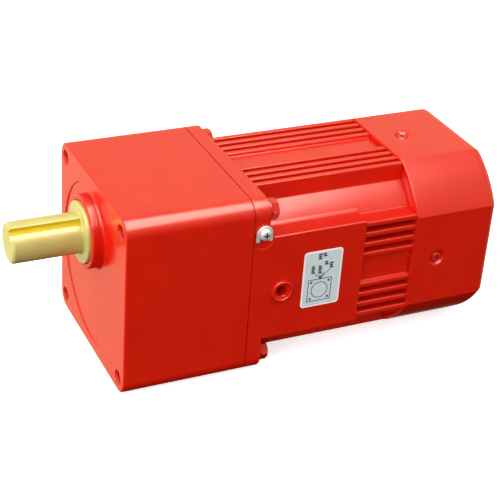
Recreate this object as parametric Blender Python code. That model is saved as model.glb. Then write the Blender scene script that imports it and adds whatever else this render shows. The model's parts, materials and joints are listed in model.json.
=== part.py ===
"""Gearmotor: a fan-cooled induction motor with a square parallel-shaft gear head.

Everything is placed in the gearmotor's own layout: X runs along the motor axis from the
gear head's mounting face (X = 0) to the fan cover, the output shaft points to -X, the side
with the wiring label is -Y, and the motor axis is Y = Z = 0.  The root empty then moves the
layout so that the world origin is the middle of the gear head's underside.
"""

from math import acos, asin, atan2, cos, hypot, pi, radians, sin, sqrt, tan

import bmesh
import bpy
from mathutils import Matrix, Vector

MM = 0.001

# Overall frame ------------------------------------------------------------------------------
FRAME = 104.0            # side of the square gear head and fan cover
HALF = FRAME / 2
EDGE_RADIUS = 8.9        # long edges of the gear head and motor flange
GAP = 0.3                # clearance kept between pieces that touch
GEARBOX_END = 70.0       # joint between gear head and motor
FLANGE_END = 79.0        # back of the motor's square flange
BODY_END = 168.1         # back of the finned motor frame
COVER_START = 168.4
COVER_END = 221.0
ORIGIN_X = GEARBOX_END / 2

# Output end ---------------------------------------------------------------------------------
OUTPUT_Z = 22.0          # height of the output shaft above the motor axis
SHAFT_TIP = -45.6
SHAFT_RADIUS = 11.1
COLLAR_RADIUS = 16.8
COLLAR_FRONT = -7.6
BOSS_RADIUS = 20.1
BOSS_FRONT = -6.0
FACE_RECESS_RADIUS = 45.5
FACE_RECESS_DEPTH = 0.6
CORNER_HOLE = 43.7       # the four corner holes are at this distance from both centre planes
KEYWAY_WIDTH = 6.0
KEYWAY_DEPTH = 3.5
KEYWAY_TILT = radians(37.5)  # keyway leans from straight up toward -Y

# Gear train: three external spur stages -------------------------------------------------------
PRESSURE_ANGLE = radians(25.0)
ADDENDUM = 0.8
DEDENDUM = 1.05
BACKLASH = 0.2
PINION_TEETH = 11
FIRST_TEETH = 38
SECOND_TEETH = 30
THIRD_TEETH = 26
FIRST_MODULE = 1.0
SECOND_MODULE = 1.25
THIRD_MODULE = 1.5
FIRST_DIRECTION = radians(-45.0)  # direction from the motor axis to the first countershaft

# Motor --------------------------------------------------------------------------------------
BARREL_RADIUS = 51.0
FIN_HALF_WIDTH = 30.0
FIN_PITCH = 6.3
FIN_WIDTH = 3.2
FIN_LEVEL = 51.2         # outer level of the fins
PAD_LEVEL = HALF         # outer level of the flat label pad
PAD_HALF_WIDTH = 31.5
PAD_END = 136.6
SLOT_FLOOR_RADIUS = 47.0
PANEL_DEPTH = 2.2        # how far the flat band between the two fin groups lies below the fins
STATOR_RADIUS = 43.0
STATOR_BORE = 27.0
STATOR_START = 93.0
STATOR_END = 151.0
STATOR_SLOTS = 24
STATOR_SLOT_WIDTH = 3.4
ROTOR_RADIUS = 26.5
ROTOR_SLOTS = 18
ROTOR_SLOT_WIDTH = 2.4
ENDSHIELD_SCREW_CIRCLE = 47.2
SHIELD_END = 173.5       # outer face of the rear end shield
SPIGOT_END = 169.5       # spigot and hub end inside the shield's plate
BOLT_HOLE_RADIUS = 3.3   # M6 bolts that hold the motor to the gear head
END_SCREW_HOLE_RADIUS = 2.3
HUB_RADIUS = 21.5        # hubs around the two rotor bearings

# Fan cover ----------------------------------------------------------------------------------
COVER_CIRCLE = 59.0      # radius of the cover's big corner arcs
COVER_WALL = 2.3
COVER_REAR_RADIUS = 7.0
COVER_SCREW_X = 184.6


# Outlines: lists of (y, z) points in millimetres ------------------------------------------------
def arc(radius, start, end, steps, centre=(0.0, 0.0)):
    """Points on an arc, both ends included."""
    points = []
    for index in range(steps + 1):
        angle = start + (end - start) * index / steps
        points.append((centre[0] + radius * cos(angle), centre[1] + radius * sin(angle)))
    return points


def circle(radius, steps, centre=(0.0, 0.0)):
    return arc(radius, 0.0, 2 * pi, steps, centre)[:-1]


def rounded_rectangle(half_y, half_z, radius, steps):
    """Rectangle about the axis with round corners, counter-clockwise from the +Y side."""
    points = []
    for quarter, (sign_y, sign_z) in enumerate([(1, 1), (-1, 1), (-1, -1), (1, -1)]):
        centre = (sign_y * (half_y - radius), sign_z * (half_z - radius))
        points += arc(radius, quarter * pi / 2, (quarter + 1) * pi / 2, steps, centre)
    return points


def cover_outline(inset):
    """Square with flat sides whose corners are arcs of one big circle, drawn in by inset."""
    radius = COVER_CIRCLE - inset
    start = acos((HALF - inset) / radius)
    points = []
    for quarter in range(4):
        turn = quarter * pi / 2
        points += arc(radius, turn + start, turn + pi / 2 - start, 4)
    return points


def gear_outline(teeth, module, phase, flank_points):
    """Tooth outline from the involute; one tooth points along phase."""
    pitch = module * teeth / 2
    base = pitch * cos(PRESSURE_ANGLE)
    root = pitch - DEDENDUM * module
    tip = pitch + ADDENDUM * module
    half_tooth = (pi * module / 2 - BACKLASH / 2) / (2 * pitch)
    involute_at_pitch = tan(PRESSURE_ANGLE) - PRESSURE_ANGLE

    def half_angle(radius):
        if radius <= base:
            return half_tooth + involute_at_pitch
        pressure = acos(base / radius)
        return half_tooth + involute_at_pitch - (tan(pressure) - pressure)

    radii = [root, pitch, tip] if flank_points == 3 else [root, tip]
    points = []
    for tooth in range(teeth):
        middle = phase + 2 * pi * tooth / teeth
        for radius in radii:
            angle = middle - half_angle(radius)
            points.append((radius * cos(angle), radius * sin(angle)))
        for radius in reversed(radii):
            angle = middle + half_angle(radius)
            points.append((radius * cos(angle), radius * sin(angle)))
    return points


def slotted_circle(radius, slots, slot_width, slot_end):
    """Circle with parallel-sided radial slots that run from it to the radius slot_end."""
    half = slot_width / 2
    points = []
    for slot in range(slots):
        middle = 2 * pi * slot / slots
        along = (cos(middle), sin(middle))
        across = (-sin(middle), cos(middle))
        for level, side in [(radius, -1), (slot_end, -1), (slot_end, 1), (radius, 1)]:
            reach = sqrt(level * level - half * half)
            y = along[0] * reach + across[0] * half * side
            z = along[1] * reach + across[1] * half * side
            points.append((y, z))
    return points


def fin_side():
    """Fins and slots of one side of the motor frame, as (across, outward) points."""
    left = []
    for index in range(3):
        outer = FIN_HALF_WIDTH - index * FIN_PITCH
        inner = outer - FIN_WIDTH
        next_outer = outer - FIN_PITCH
        floor_outer = sqrt(SLOT_FLOOR_RADIUS ** 2 - inner ** 2)
        floor_inner = sqrt(SLOT_FLOOR_RADIUS ** 2 - next_outer ** 2)
        left += [(-outer, FIN_LEVEL), (-inner, FIN_LEVEL)]
        left += [(-inner, floor_outer), (-next_outer, floor_inner)]
    panel_half = FIN_HALF_WIDTH - 3 * FIN_PITCH - FIN_WIDTH
    left += [(-panel_half - FIN_WIDTH, FIN_LEVEL), (-panel_half, FIN_LEVEL)]
    left += [(-panel_half, FIN_LEVEL - PANEL_DEPTH)]
    return left + [(-across, outward) for across, outward in reversed(left)]


def facing(points, angle):
    """Turns (across, outward) points so that outward lies along the angle."""
    turned_points = []
    for across, outward in points:
        y = outward * cos(angle) - across * sin(angle)
        z = outward * sin(angle) + across * cos(angle)
        turned_points.append((y, z))
    return turned_points


def frame_outline():
    """Cross-section of the motor frame: a barrel with fins on three sides and a flat pad on -Y."""
    pad = [(-PAD_HALF_WIDTH, PAD_LEVEL), (PAD_HALF_WIDTH, PAD_LEVEL)]
    sides = [(fin_side(), FIN_HALF_WIDTH), (fin_side(), FIN_HALF_WIDTH), (pad, PAD_HALF_WIDTH),
             (fin_side(), FIN_HALF_WIDTH)]
    points = []
    for side, (shape, edge) in enumerate(sides):
        angle = side * pi / 2
        next_edge = sides[(side + 1) % 4][1]
        points += facing(shape, angle)
        start = angle + asin(edge / BARREL_RADIUS)
        end = angle + pi / 2 - asin(next_edge / BARREL_RADIUS)
        points += arc(BARREL_RADIUS, start, end, 3)
    return points


def pad_side_comb():
    """What is milled off behind the pad, on the -Y side, to leave fins like the other sides'."""
    shoulder = sqrt(BARREL_RADIUS ** 2 - FIN_HALF_WIDTH ** 2)
    outside = PAD_HALF_WIDTH + 0.8
    left = [(-outside, PAD_LEVEL + 1.0), (-outside, shoulder - 0.4), (-FIN_HALF_WIDTH, shoulder)]
    right = [(-across, outward) for across, outward in reversed(left)]
    return facing(left + fin_side() + right, pi)


def keyed_bore(radius, key_width, key_reach, tilt):
    """Circle with a rectangular notch; the notch is centred on the direction tilt."""
    half = key_width / 2
    start = asin(half / radius)
    points = arc(radius, tilt + start, tilt + 2 * pi - start, 16)
    along = (cos(tilt), sin(tilt))
    across = (-sin(tilt), cos(tilt))
    for side in (-1, 1):
        y = along[0] * key_reach + across[0] * half * side
        z = along[1] * key_reach + across[1] * half * side
        points.append((y, z))
    return points


# Meshes -------------------------------------------------------------------------------------
def finish_mesh(bm, name):
    bmesh.ops.connect_verts_nonplanar(bm, angle_limit=radians(0.1), faces=bm.faces)
    bmesh.ops.recalc_face_normals(bm, faces=bm.faces)
    mesh = bpy.data.meshes.new(name)
    bm.to_mesh(mesh)
    bm.free()
    return mesh


def ring_stack(name, rings, closed=False):
    """Skin through rings of equal point count, given as (x, outline); ends are capped."""
    bm = bmesh.new()
    loops = []
    for x, outline in rings:
        loops.append([bm.verts.new((x * MM, y * MM, z * MM)) for y, z in outline])
    pairs = list(zip(loops, loops[1:]))
    if closed:
        pairs.append((loops[-1], loops[0]))
    for first, second in pairs:
        count = len(first)
        for index in range(count):
            following = (index + 1) % count
            bm.faces.new([first[index], first[following], second[following], second[index]])
    if not closed:
        bm.faces.new(list(reversed(loops[0])))
        bm.faces.new(loops[-1])
    return finish_mesh(bm, name)


def turned(name, profile, steps):
    """Solid of revolution about X through (x, radius) points."""
    return ring_stack(name, [(x, circle(radius, steps)) for x, radius in profile])


def turned_ring(name, profile, steps):
    """Ring turned about X whose closed section is the (x, radius) points."""
    return ring_stack(name, [(x, circle(radius, steps)) for x, radius in profile], closed=True)


def plate(name, outline, start, end, holes=()):
    """Flat plate between two X positions, with any number of holes through it."""
    bm = bmesh.new()
    edges = []
    for loop in [outline, *holes]:
        corners = [bm.verts.new((start * MM, y * MM, z * MM)) for y, z in loop]
        for index, corner in enumerate(corners):
            edges.append(bm.edges.new((corner, corners[(index + 1) % len(corners)])))
    bmesh.ops.triangle_fill(bm, use_beauty=True, use_dissolve=False, edges=edges)
    extruded = bmesh.ops.extrude_face_region(bm, geom=bm.faces[:])
    moved = [item for item in extruded["geom"] if isinstance(item, bmesh.types.BMVert)]
    bmesh.ops.translate(bm, verts=moved, vec=((end - start) * MM, 0, 0))
    return finish_mesh(bm, name)


def box(name, low, high):
    bm = bmesh.new()
    bmesh.ops.create_cube(bm, size=1.0)
    for vertex in bm.verts:
        for axis in range(3):
            middle = (low[axis] + high[axis]) / 2
            vertex.co[axis] = (middle + vertex.co[axis] * (high[axis] - low[axis])) * MM
    return finish_mesh(bm, name)


def slot_bars(name, count, half_width, levels, span):
    """Straight bars along X in a circle of slots, between two radii and two X positions."""
    inner, outer = levels
    bars = bmesh.new()
    for slot in range(count):
        angle = 2 * pi * slot / count
        along = Vector((0, cos(angle), sin(angle)))
        across = Vector((0, -sin(angle), cos(angle))) * half_width
        section = [
            along * inner - across,
            along * outer - across,
            along * outer + across,
            along * inner + across,
        ]
        loops = []
        for x in span:
            loops.append([bars.verts.new((point + Vector((x, 0, 0))) * MM) for point in section])
        for index in range(4):
            following = (index + 1) % 4
            bars.faces.new([loops[0][index], loops[0][following], loops[1][following], loops[1][index]])
        bars.faces.new(list(reversed(loops[0])))
        bars.faces.new(loops[1])
    return finish_mesh(bars, name)


# Materials ----------------------------------------------------------------------------------
def make_material(name, colour, roughness, metallic):
    material = bpy.data.materials.new(name)
    material.use_nodes = True
    shader = material.node_tree.nodes["Principled BSDF"]
    shader.inputs["Base Color"].default_value = (*colour, 1.0)
    shader.inputs["Roughness"].default_value = roughness
    shader.inputs["Metallic"].default_value = metallic
    material.diffuse_color = (*colour, 1.0)
    return material


RED_PAINT = ((0.80, 0.04, 0.01), 0.25, 0.0)
OILED_STEEL = ((0.85, 0.70, 0.28), 0.35, 0.6)
STEEL = ((0.55, 0.56, 0.58), 0.35, 1.0)
GEAR_STEEL = ((0.42, 0.43, 0.45), 0.30, 1.0)
BEARING_STEEL = ((0.70, 0.71, 0.73), 0.20, 1.0)
ELECTRICAL_STEEL = ((0.32, 0.33, 0.35), 0.45, 1.0)
CAST_ALUMINIUM = ((0.72, 0.73, 0.74), 0.50, 1.0)
COPPER_ENAMEL = ((0.60, 0.20, 0.06), 0.30, 0.8)
BLACK_RUBBER = ((0.02, 0.02, 0.02), 0.70, 0.0)
BLACK_PLASTIC = ((0.03, 0.03, 0.03), 0.50, 0.0)
ZINC_PLATE = ((0.75, 0.76, 0.76), 0.30, 1.0)
LABEL_FILM = ((0.78, 0.81, 0.80), 0.40, 0.0)


# Objects ------------------------------------------------------------------------------------
def make_root():
    root = bpy.data.objects.new("gearmotor_root", None)
    bpy.context.scene.collection.objects.link(root)
    root.location = (-ORIGIN_X * MM, 0, HALF * MM)
    return root


def add(mesh, finish, location=(0.0, 0.0, 0.0), rotation=(0.0, 0.0, 0.0)):
    """Links a mesh as the object of the same name, placed in the gearmotor's layout."""
    thing = bpy.data.objects.new(mesh.name, mesh)
    bpy.context.scene.collection.objects.link(thing)
    thing.parent = bpy.data.objects["gearmotor_root"]
    thing.location = [value * MM for value in location]
    thing.rotation_euler = rotation
    mesh.materials.clear()
    mesh.materials.append(make_material(mesh.name, *finish))
    mesh.shade_smooth()
    mesh.set_sharp_from_angle(angle=radians(35))
    return thing


def combine(target, mesh, operation, location=(0.0, 0.0, 0.0), rotation=(0.0, 0.0, 0.0)):
    """Cuts a mesh out of the target, or welds it on, and keeps the result as the target's mesh."""
    tool = bpy.data.objects.new("tool", mesh)
    bpy.context.scene.collection.objects.link(tool)
    tool.parent = target.parent
    tool.location = [value * MM for value in location]
    tool.rotation_euler = rotation
    modifier = target.modifiers.new("combine", "BOOLEAN")
    modifier.operation = operation
    modifier.solver = "EXACT"
    modifier.object = tool
    bpy.context.view_layer.update()
    evaluated = target.evaluated_get(bpy.context.evaluated_depsgraph_get())
    result = bpy.data.meshes.new_from_object(evaluated)
    target.modifiers.clear()
    old = target.data
    target.data = result
    bpy.data.meshes.remove(old)
    result.name = target.name
    bpy.data.objects.remove(tool, do_unlink=True)
    bpy.data.meshes.remove(mesh)
    result.set_sharp_from_angle(angle=radians(35))


def cut(target, mesh, **placing):
    combine(target, mesh, "DIFFERENCE", **placing)


def weld(target, mesh, **placing):
    combine(target, mesh, "UNION", **placing)


# Layout of the gear train -----------------------------------------------------------------------
def centre_distance(module, teeth):
    return module * (PINION_TEETH + teeth) / 2


def second_axis(first, output):
    """Where the second countershaft sits so that both of its meshes have their distances."""
    to_first = centre_distance(SECOND_MODULE, SECOND_TEETH)
    to_output = centre_distance(THIRD_MODULE, THIRD_TEETH)
    span = hypot(output[0] - first[0], output[1] - first[1])
    along = (to_first ** 2 - to_output ** 2 + span ** 2) / (2 * span)
    aside = sqrt(to_first ** 2 - along ** 2)
    unit = ((output[0] - first[0]) / span, (output[1] - first[1]) / span)
    return (
        first[0] + unit[0] * along + unit[1] * aside,
        first[1] + unit[1] * along - unit[0] * aside,
    )


MOTOR_AXIS = (0.0, 0.0)
OUTPUT_AXIS = (0.0, OUTPUT_Z)
FIRST_AXIS = (
    centre_distance(FIRST_MODULE, FIRST_TEETH) * cos(FIRST_DIRECTION),
    centre_distance(FIRST_MODULE, FIRST_TEETH) * sin(FIRST_DIRECTION),
)
SECOND_AXIS = second_axis(FIRST_AXIS, OUTPUT_AXIS)

# Widths of the gears along X
OUTPUT_GEAR_X = (24.0, 40.0)
THIRD_PINION_X = (23.0, 41.0)
SECOND_GEAR_X = (43.2, 52.0)
SECOND_PINION_X = (42.6, 52.6)
FIRST_GEAR_X = (55.0, 62.0)
MOTOR_PINION_X = (54.0, 64.0)

# Gear head interior
CAVITY_RADIUS = 45.4
PLATE_RADIUS = 46.5
PLATE_X = (64.5, 69.4)
FRONT_BEARING_X = (4.7, 13.7)    # output shaft
FRONT_BEARING_RADIUS = 18.5
SEAL_X = (-3.3, 3.7)
SEAL_RADIUS = 17.5
HUB_END = 14.0
BUSH_X = (8.3, 13.3)             # front bushes of the countershafts
BUSH_RADIUS = 5.5
BUSH_BORE = 3.3
REAR_BEARING_X = (64.8, 69.1)    # all three gear head shafts
COUNTERSHAFT_BEARING_RADIUS = 8.0
OUTPUT_REAR_BEARING_RADIUS = 12.0
MOTOR_BEARING_RADIUS = 17.5
MOTOR_BEARING_BORE = 7.5


def direction(start, end):
    return atan2(end[1] - start[1], end[0] - start[0])


def at(axis):
    """Location of something turned about a line along X."""
    return (0.0, axis[0], axis[1])


def gap_facing(start, end, teeth):
    """Phase that puts a tooth gap of the gear at end toward the gear at start."""
    return direction(start, end) + pi + pi / teeth


# Gear head ------------------------------------------------------------------------------------
def build_gearbox_housing():
    front_fillet = 1.2
    rings = [
        (0.0, front_fillet),
        (front_fillet * 0.3, front_fillet * 0.3),
        (front_fillet, 0.0),
        (GEARBOX_END - GAP / 2, 0.0),
    ]
    stack = []
    for x, inset in rings:
        half = HALF - inset
        stack.append((x, rounded_rectangle(half, half, EDGE_RADIUS - inset, 5)))
    housing = add(ring_stack("gearbox_housing", stack), RED_PAINT)
    recess = [(-1.0, FACE_RECESS_RADIUS), (FACE_RECESS_DEPTH, FACE_RECESS_RADIUS)]
    cut(housing, turned("recess", recess, 36))
    boss = [(BOSS_FRONT, BOSS_RADIUS - 0.8), (BOSS_FRONT + 0.8, BOSS_RADIUS), (5.0, BOSS_RADIUS)]
    weld(housing, turned("boss", boss, 24), location=at(OUTPUT_AXIS))
    cavity = [
        (7.0, CAVITY_RADIUS),
        (PLATE_X[0] - GAP, CAVITY_RADIUS),
        (PLATE_X[0] - GAP, PLATE_RADIUS + GAP),
        (GEARBOX_END + 1.0, PLATE_RADIUS + GAP),
    ]
    cut(housing, turned("cavity", cavity, 32))
    weld(housing, turned("output_hub", [(5.0, 22.5), (HUB_END, 22.5)], 20), location=at(OUTPUT_AXIS))
    for axis in (FIRST_AXIS, SECOND_AXIS):
        weld(housing, turned("bush_hub", [(5.0, 8.5), (HUB_END, 8.5)], 12), location=at(axis))
        seat = [(BUSH_X[0] - GAP, BUSH_RADIUS + GAP), (HUB_END + 1, BUSH_RADIUS + GAP)]
        cut(housing, turned("bush_seat", seat, 10), location=at(axis))
    seats = [
        (BOSS_FRONT - 1.0, COLLAR_RADIUS + GAP),
        (SEAL_X[0] - GAP, COLLAR_RADIUS + GAP),
        (SEAL_X[0] - GAP, SEAL_RADIUS + GAP),
        (FRONT_BEARING_X[0] - GAP, SEAL_RADIUS + GAP),
        (FRONT_BEARING_X[0] - GAP, FRONT_BEARING_RADIUS + GAP),
        (HUB_END + 1.0, FRONT_BEARING_RADIUS + GAP),
    ]
    cut(housing, turned("output_seats", seats, 20), location=at(OUTPUT_AXIS))
    mounting_hole = [(-1.0, 3.9), (25.0, 3.9)]
    bolt_hole = [(46.0, BOLT_HOLE_RADIUS), (GEARBOX_END + 1.0, BOLT_HOLE_RADIUS)]
    for y, z in corners(CORNER_HOLE):
        cut(housing, turned("mounting_hole", mounting_hole, 10), location=(0, y, z))
        cut(housing, turned("bolt_hole", bolt_hole, 8), location=(0, y, z))


def corners(distance):
    return [(distance, distance), (-distance, distance), (-distance, -distance), (distance, -distance)]


def bearing(name, bore, radius, span, axis, steps=14, open_race=True):
    """Ball bearing as one ring; an open race shows the step between inner and outer ring."""
    start, end = span
    wall = (radius - bore) * 0.25
    depth = 0.8
    if open_race:
        front = [(start, bore), (start, bore + wall), (start + depth, bore + wall)]
        front += [(start + depth, radius - wall), (start, radius - wall), (start, radius)]
        back = [(start + end - x, r) for x, r in reversed(front)]
        profile = front + back
    else:
        profile = [(start, bore), (start, radius), (end, radius), (end, bore)]
    add(turned_ring(name, profile, steps), BEARING_STEEL, location=at(axis))


def build_output_shaft():
    seat = 9.7
    tail = 5.7
    profile = [
        (SHAFT_TIP, SHAFT_RADIUS - 1.0),
        (SHAFT_TIP + 1.0, SHAFT_RADIUS),
        (COLLAR_FRONT, SHAFT_RADIUS),
        (COLLAR_FRONT, COLLAR_RADIUS),
        (SEAL_X[0] - GAP, COLLAR_RADIUS),
        (SEAL_X[0] - GAP, 11.0),
        (FRONT_BEARING_X[0] - GAP, 11.0),
        (FRONT_BEARING_X[0] - GAP, seat),
        (40.4, seat),
        (40.4, seat - 1.0),
        (42.0, seat - 1.0),
        (42.0, seat),
        (42.8, seat),
        (42.8, tail),
        (REAR_BEARING_X[1] + 0.1, tail),
    ]
    shaft = add(turned("output_shaft", profile, 20), OILED_STEEL, location=at(OUTPUT_AXIS))
    half = KEYWAY_WIDTH / 2
    keyway_low = (SHAFT_TIP - 1, -half, SHAFT_RADIUS - KEYWAY_DEPTH)
    keyway = box("keyway", keyway_low, (COLLAR_FRONT - 0.4, half, 20))
    cut(shaft, keyway, location=at(OUTPUT_AXIS), rotation=(KEYWAY_TILT, 0, 0))
    seat_slot = box("key_seat", (25.4, -half - GAP, 6.4), (38.6, half + GAP, 20))
    cut(shaft, seat_slot, location=at(OUTPUT_AXIS))
    key = box("gear_key", (25.7, -half, 6.7), (38.3, half, 12.4))
    add(key, STEEL, location=at(OUTPUT_AXIS))
    ring = [(40.7, seat - 0.6), (40.7, 12.0), (41.7, 12.0), (41.7, seat - 0.6)]
    add(turned_ring("gear_retaining_ring", ring, 16), STEEL, location=at(OUTPUT_AXIS))


def build_output_gear():
    phase = gap_facing(SECOND_AXIS, OUTPUT_AXIS, THIRD_TEETH)
    outline = gear_outline(THIRD_TEETH, THIRD_MODULE, phase, 2)
    bore = keyed_bore(10.0, KEYWAY_WIDTH + 2 * GAP, 12.7, pi / 2)
    add(plate("output_gear", outline, *OUTPUT_GEAR_X, holes=[bore]), GEAR_STEEL, location=at(OUTPUT_AXIS))


def build_countershaft(name, axis, next_axis, module, pinion_x, journals):
    """Shaft with its pinion cut on it; journals are (x, radius) steps along the shaft."""
    shaft = add(turned(name, journals, 16), GEAR_STEEL, location=at(axis))
    outline = gear_outline(PINION_TEETH, module, direction(axis, next_axis), 3)
    weld(shaft, plate("pinion", outline, *pinion_x), location=at(axis))


def build_gear_train():
    build_output_shaft()
    build_output_gear()
    journal = BUSH_BORE - GAP
    rear = 4.0
    second_body = 5.0
    build_countershaft(
        "second_pinion_shaft",
        SECOND_AXIS,
        OUTPUT_AXIS,
        THIRD_MODULE,
        THIRD_PINION_X,
        [
            (BUSH_X[0], journal),
            (HUB_END, journal),
            (HUB_END, second_body),
            (53.0, second_body),
            (53.0, rear),
            (REAR_BEARING_X[1] + 0.1, rear),
        ],
    )
    first_body = 4.5
    build_countershaft(
        "first_pinion_shaft",
        FIRST_AXIS,
        SECOND_AXIS,
        SECOND_MODULE,
        SECOND_PINION_X,
        [
            (BUSH_X[0], journal),
            (HUB_END, journal),
            (HUB_END, first_body),
            (63.0, first_body),
            (63.0, rear),
            (REAR_BEARING_X[1] + 0.1, rear),
        ],
    )
    second_phase = gap_facing(FIRST_AXIS, SECOND_AXIS, SECOND_TEETH)
    second = gear_outline(SECOND_TEETH, SECOND_MODULE, second_phase, 2)
    bore = circle(second_body + GAP, 14)
    add(plate("second_gear", second, *SECOND_GEAR_X, holes=[bore]), GEAR_STEEL, location=at(SECOND_AXIS))
    first_phase = gap_facing(MOTOR_AXIS, FIRST_AXIS, FIRST_TEETH)
    first = gear_outline(FIRST_TEETH, FIRST_MODULE, first_phase, 2)
    bore = circle(first_body + GAP, 14)
    add(plate("first_gear", first, *FIRST_GEAR_X, holes=[bore]), GEAR_STEEL, location=at(FIRST_AXIS))


def build_gearbox_bearings():
    seal = [
        (SEAL_X[0], SEAL_RADIUS),
        (SEAL_X[0], 11.3),
        (SEAL_X[0] + 2.0, 11.3),
        (SEAL_X[0] + 2.0, 15.5),
        (SEAL_X[1], 15.5),
        (SEAL_X[1], SEAL_RADIUS),
    ]
    add(turned_ring("output_oil_seal", seal, 20), BLACK_RUBBER, location=at(OUTPUT_AXIS))
    bearing("output_bearing_front", 10.0, FRONT_BEARING_RADIUS, FRONT_BEARING_X, OUTPUT_AXIS)
    bearing("output_bearing_rear", 6.0, OUTPUT_REAR_BEARING_RADIUS, REAR_BEARING_X, OUTPUT_AXIS, 14, False)
    for name, axis in [("first_shaft", FIRST_AXIS), ("second_shaft", SECOND_AXIS)]:
        bearing(name + "_bush", BUSH_BORE, BUSH_RADIUS, BUSH_X, axis, 12, False)
        bearing(name + "_bearing", 4.3, COUNTERSHAFT_BEARING_RADIUS, REAR_BEARING_X, axis, 12, False)


def build_bearing_plate():
    holes = [
        circle(8.0, 16),
        circle(OUTPUT_REAR_BEARING_RADIUS + GAP, 16, OUTPUT_AXIS),
        circle(COUNTERSHAFT_BEARING_RADIUS + GAP, 14, FIRST_AXIS),
        circle(COUNTERSHAFT_BEARING_RADIUS + GAP, 14, SECOND_AXIS),
    ]
    add(plate("gearbox_bearing_plate", circle(PLATE_RADIUS, 36), *PLATE_X, holes=holes), CAST_ALUMINIUM)


# Motor --------------------------------------------------------------------------------------
FRONT_MOTOR_BEARING_X = (76.1, 87.1)
REAR_MOTOR_BEARING_X = (158.0, 169.0)
MOTOR_SEAL_X = (70.5, 75.0)
MOTOR_SEAL_RADIUS = 13.0
SHAFT_STEP = 6.7         # rotor shaft at its two reduced ends
GROUND_X = 75.6
GROUND_Z = 34.8
SPOT_FACE_DROP = 3.6
CABLE_X = 88.5
CABLE_Z = -2.6
OUT_OF_LABEL_SIDE = (0.0, 0.0, -pi / 2)  # points a piece turned about X toward -Y


def build_motor_frame():
    flange_start = GEARBOX_END + GAP / 2
    square = rounded_rectangle(HALF, HALF, EDGE_RADIUS, 5)
    frame = add(ring_stack("motor_frame", [(flange_start, square), (FLANGE_END, square)]), RED_PAINT)
    weld(frame, ring_stack("finned_body", [(75.0, frame_outline()), (BODY_END, frame_outline())]))
    cut(frame, ring_stack("comb", [(PAD_END, pad_side_comb()), (BODY_END + 1, pad_side_comb())]))
    bore_radius = STATOR_RADIUS + GAP
    cut(frame, turned("stator_bore", [(80.5, bore_radius), (BODY_END + 1, bore_radius)], 32))
    weld(frame, turned("bearing_hub", [(76.0, HUB_RADIUS), (88.0, HUB_RADIUS)], 16))
    seats = [
        (GEARBOX_END - 1, MOTOR_SEAL_RADIUS + GAP),
        (MOTOR_SEAL_X[1] + GAP, MOTOR_SEAL_RADIUS + GAP),
        (MOTOR_SEAL_X[1] + GAP, 10.0),
        (FRONT_MOTOR_BEARING_X[0] - GAP, 10.0),
        (FRONT_MOTOR_BEARING_X[0] - GAP, MOTOR_BEARING_RADIUS + GAP),
        (90.0, MOTOR_BEARING_RADIUS + GAP),
    ]
    cut(frame, turned("front_seats", seats, 16))
    flange_hole = [(69.0, BOLT_HOLE_RADIUS), (80.0, BOLT_HOLE_RADIUS)]
    for y, z in corners(CORNER_HOLE):
        cut(frame, turned("flange_hole", flange_hole, 8), location=(0, y, z))
    screw_hole = [(152.0, END_SCREW_HOLE_RADIUS), (BODY_END + 1, END_SCREW_HOLE_RADIUS)]
    for y, z in corners(ENDSHIELD_SCREW_CIRCLE / sqrt(2)):
        cut(frame, turned("screw_hole", screw_hole, 8), location=(0, y, z))
    cable_hole = turned("cable_hole", [(40.0, 4.9), (56.0, 4.9)], 12)
    cut(frame, cable_hole, location=(CABLE_X, 0, CABLE_Z), rotation=OUT_OF_LABEL_SIDE)
    spot_face = turned("spot_face", [(HALF - 0.8, 6.2), (HALF + 1, 6.2)], 12)
    cut(frame, spot_face, location=(GROUND_X, 0, GROUND_Z - SPOT_FACE_DROP), rotation=OUT_OF_LABEL_SIDE)
    ground_hole = turned("ground_hole", [(HALF - 9.0, 1.9), (HALF + 1, 1.9)], 8)
    cut(frame, ground_hole, location=(GROUND_X, 0, GROUND_Z), rotation=OUT_OF_LABEL_SIDE)


def build_stator():
    bore = slotted_circle(STATOR_BORE, STATOR_SLOTS, STATOR_SLOT_WIDTH, 36.0)
    core = plate("stator_core", circle(STATOR_RADIUS, 32), STATOR_START, STATOR_END, holes=[bore])
    add(core, ELECTRICAL_STEEL)
    front = [
        (82.5, 29.7),
        (STATOR_START - GAP, 28.2),
        (STATOR_START - GAP, 40.5),
        (82.5, 37.5),
    ]
    winding = add(turned_ring("stator_winding", front, 20), COPPER_ENAMEL)
    bar_half = STATOR_SLOT_WIDTH / 2 - GAP
    bar_span = (STATOR_START - 3.0, STATOR_END + 3.0)
    weld(winding, slot_bars("slot_bars", STATOR_SLOTS, bar_half, (29.0, 35.6), bar_span))
    rear = [(STATOR_START + STATOR_END - x, radius) for x, radius in reversed(front)]
    weld(winding, turned_ring("rear_turns", rear, 20))


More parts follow.
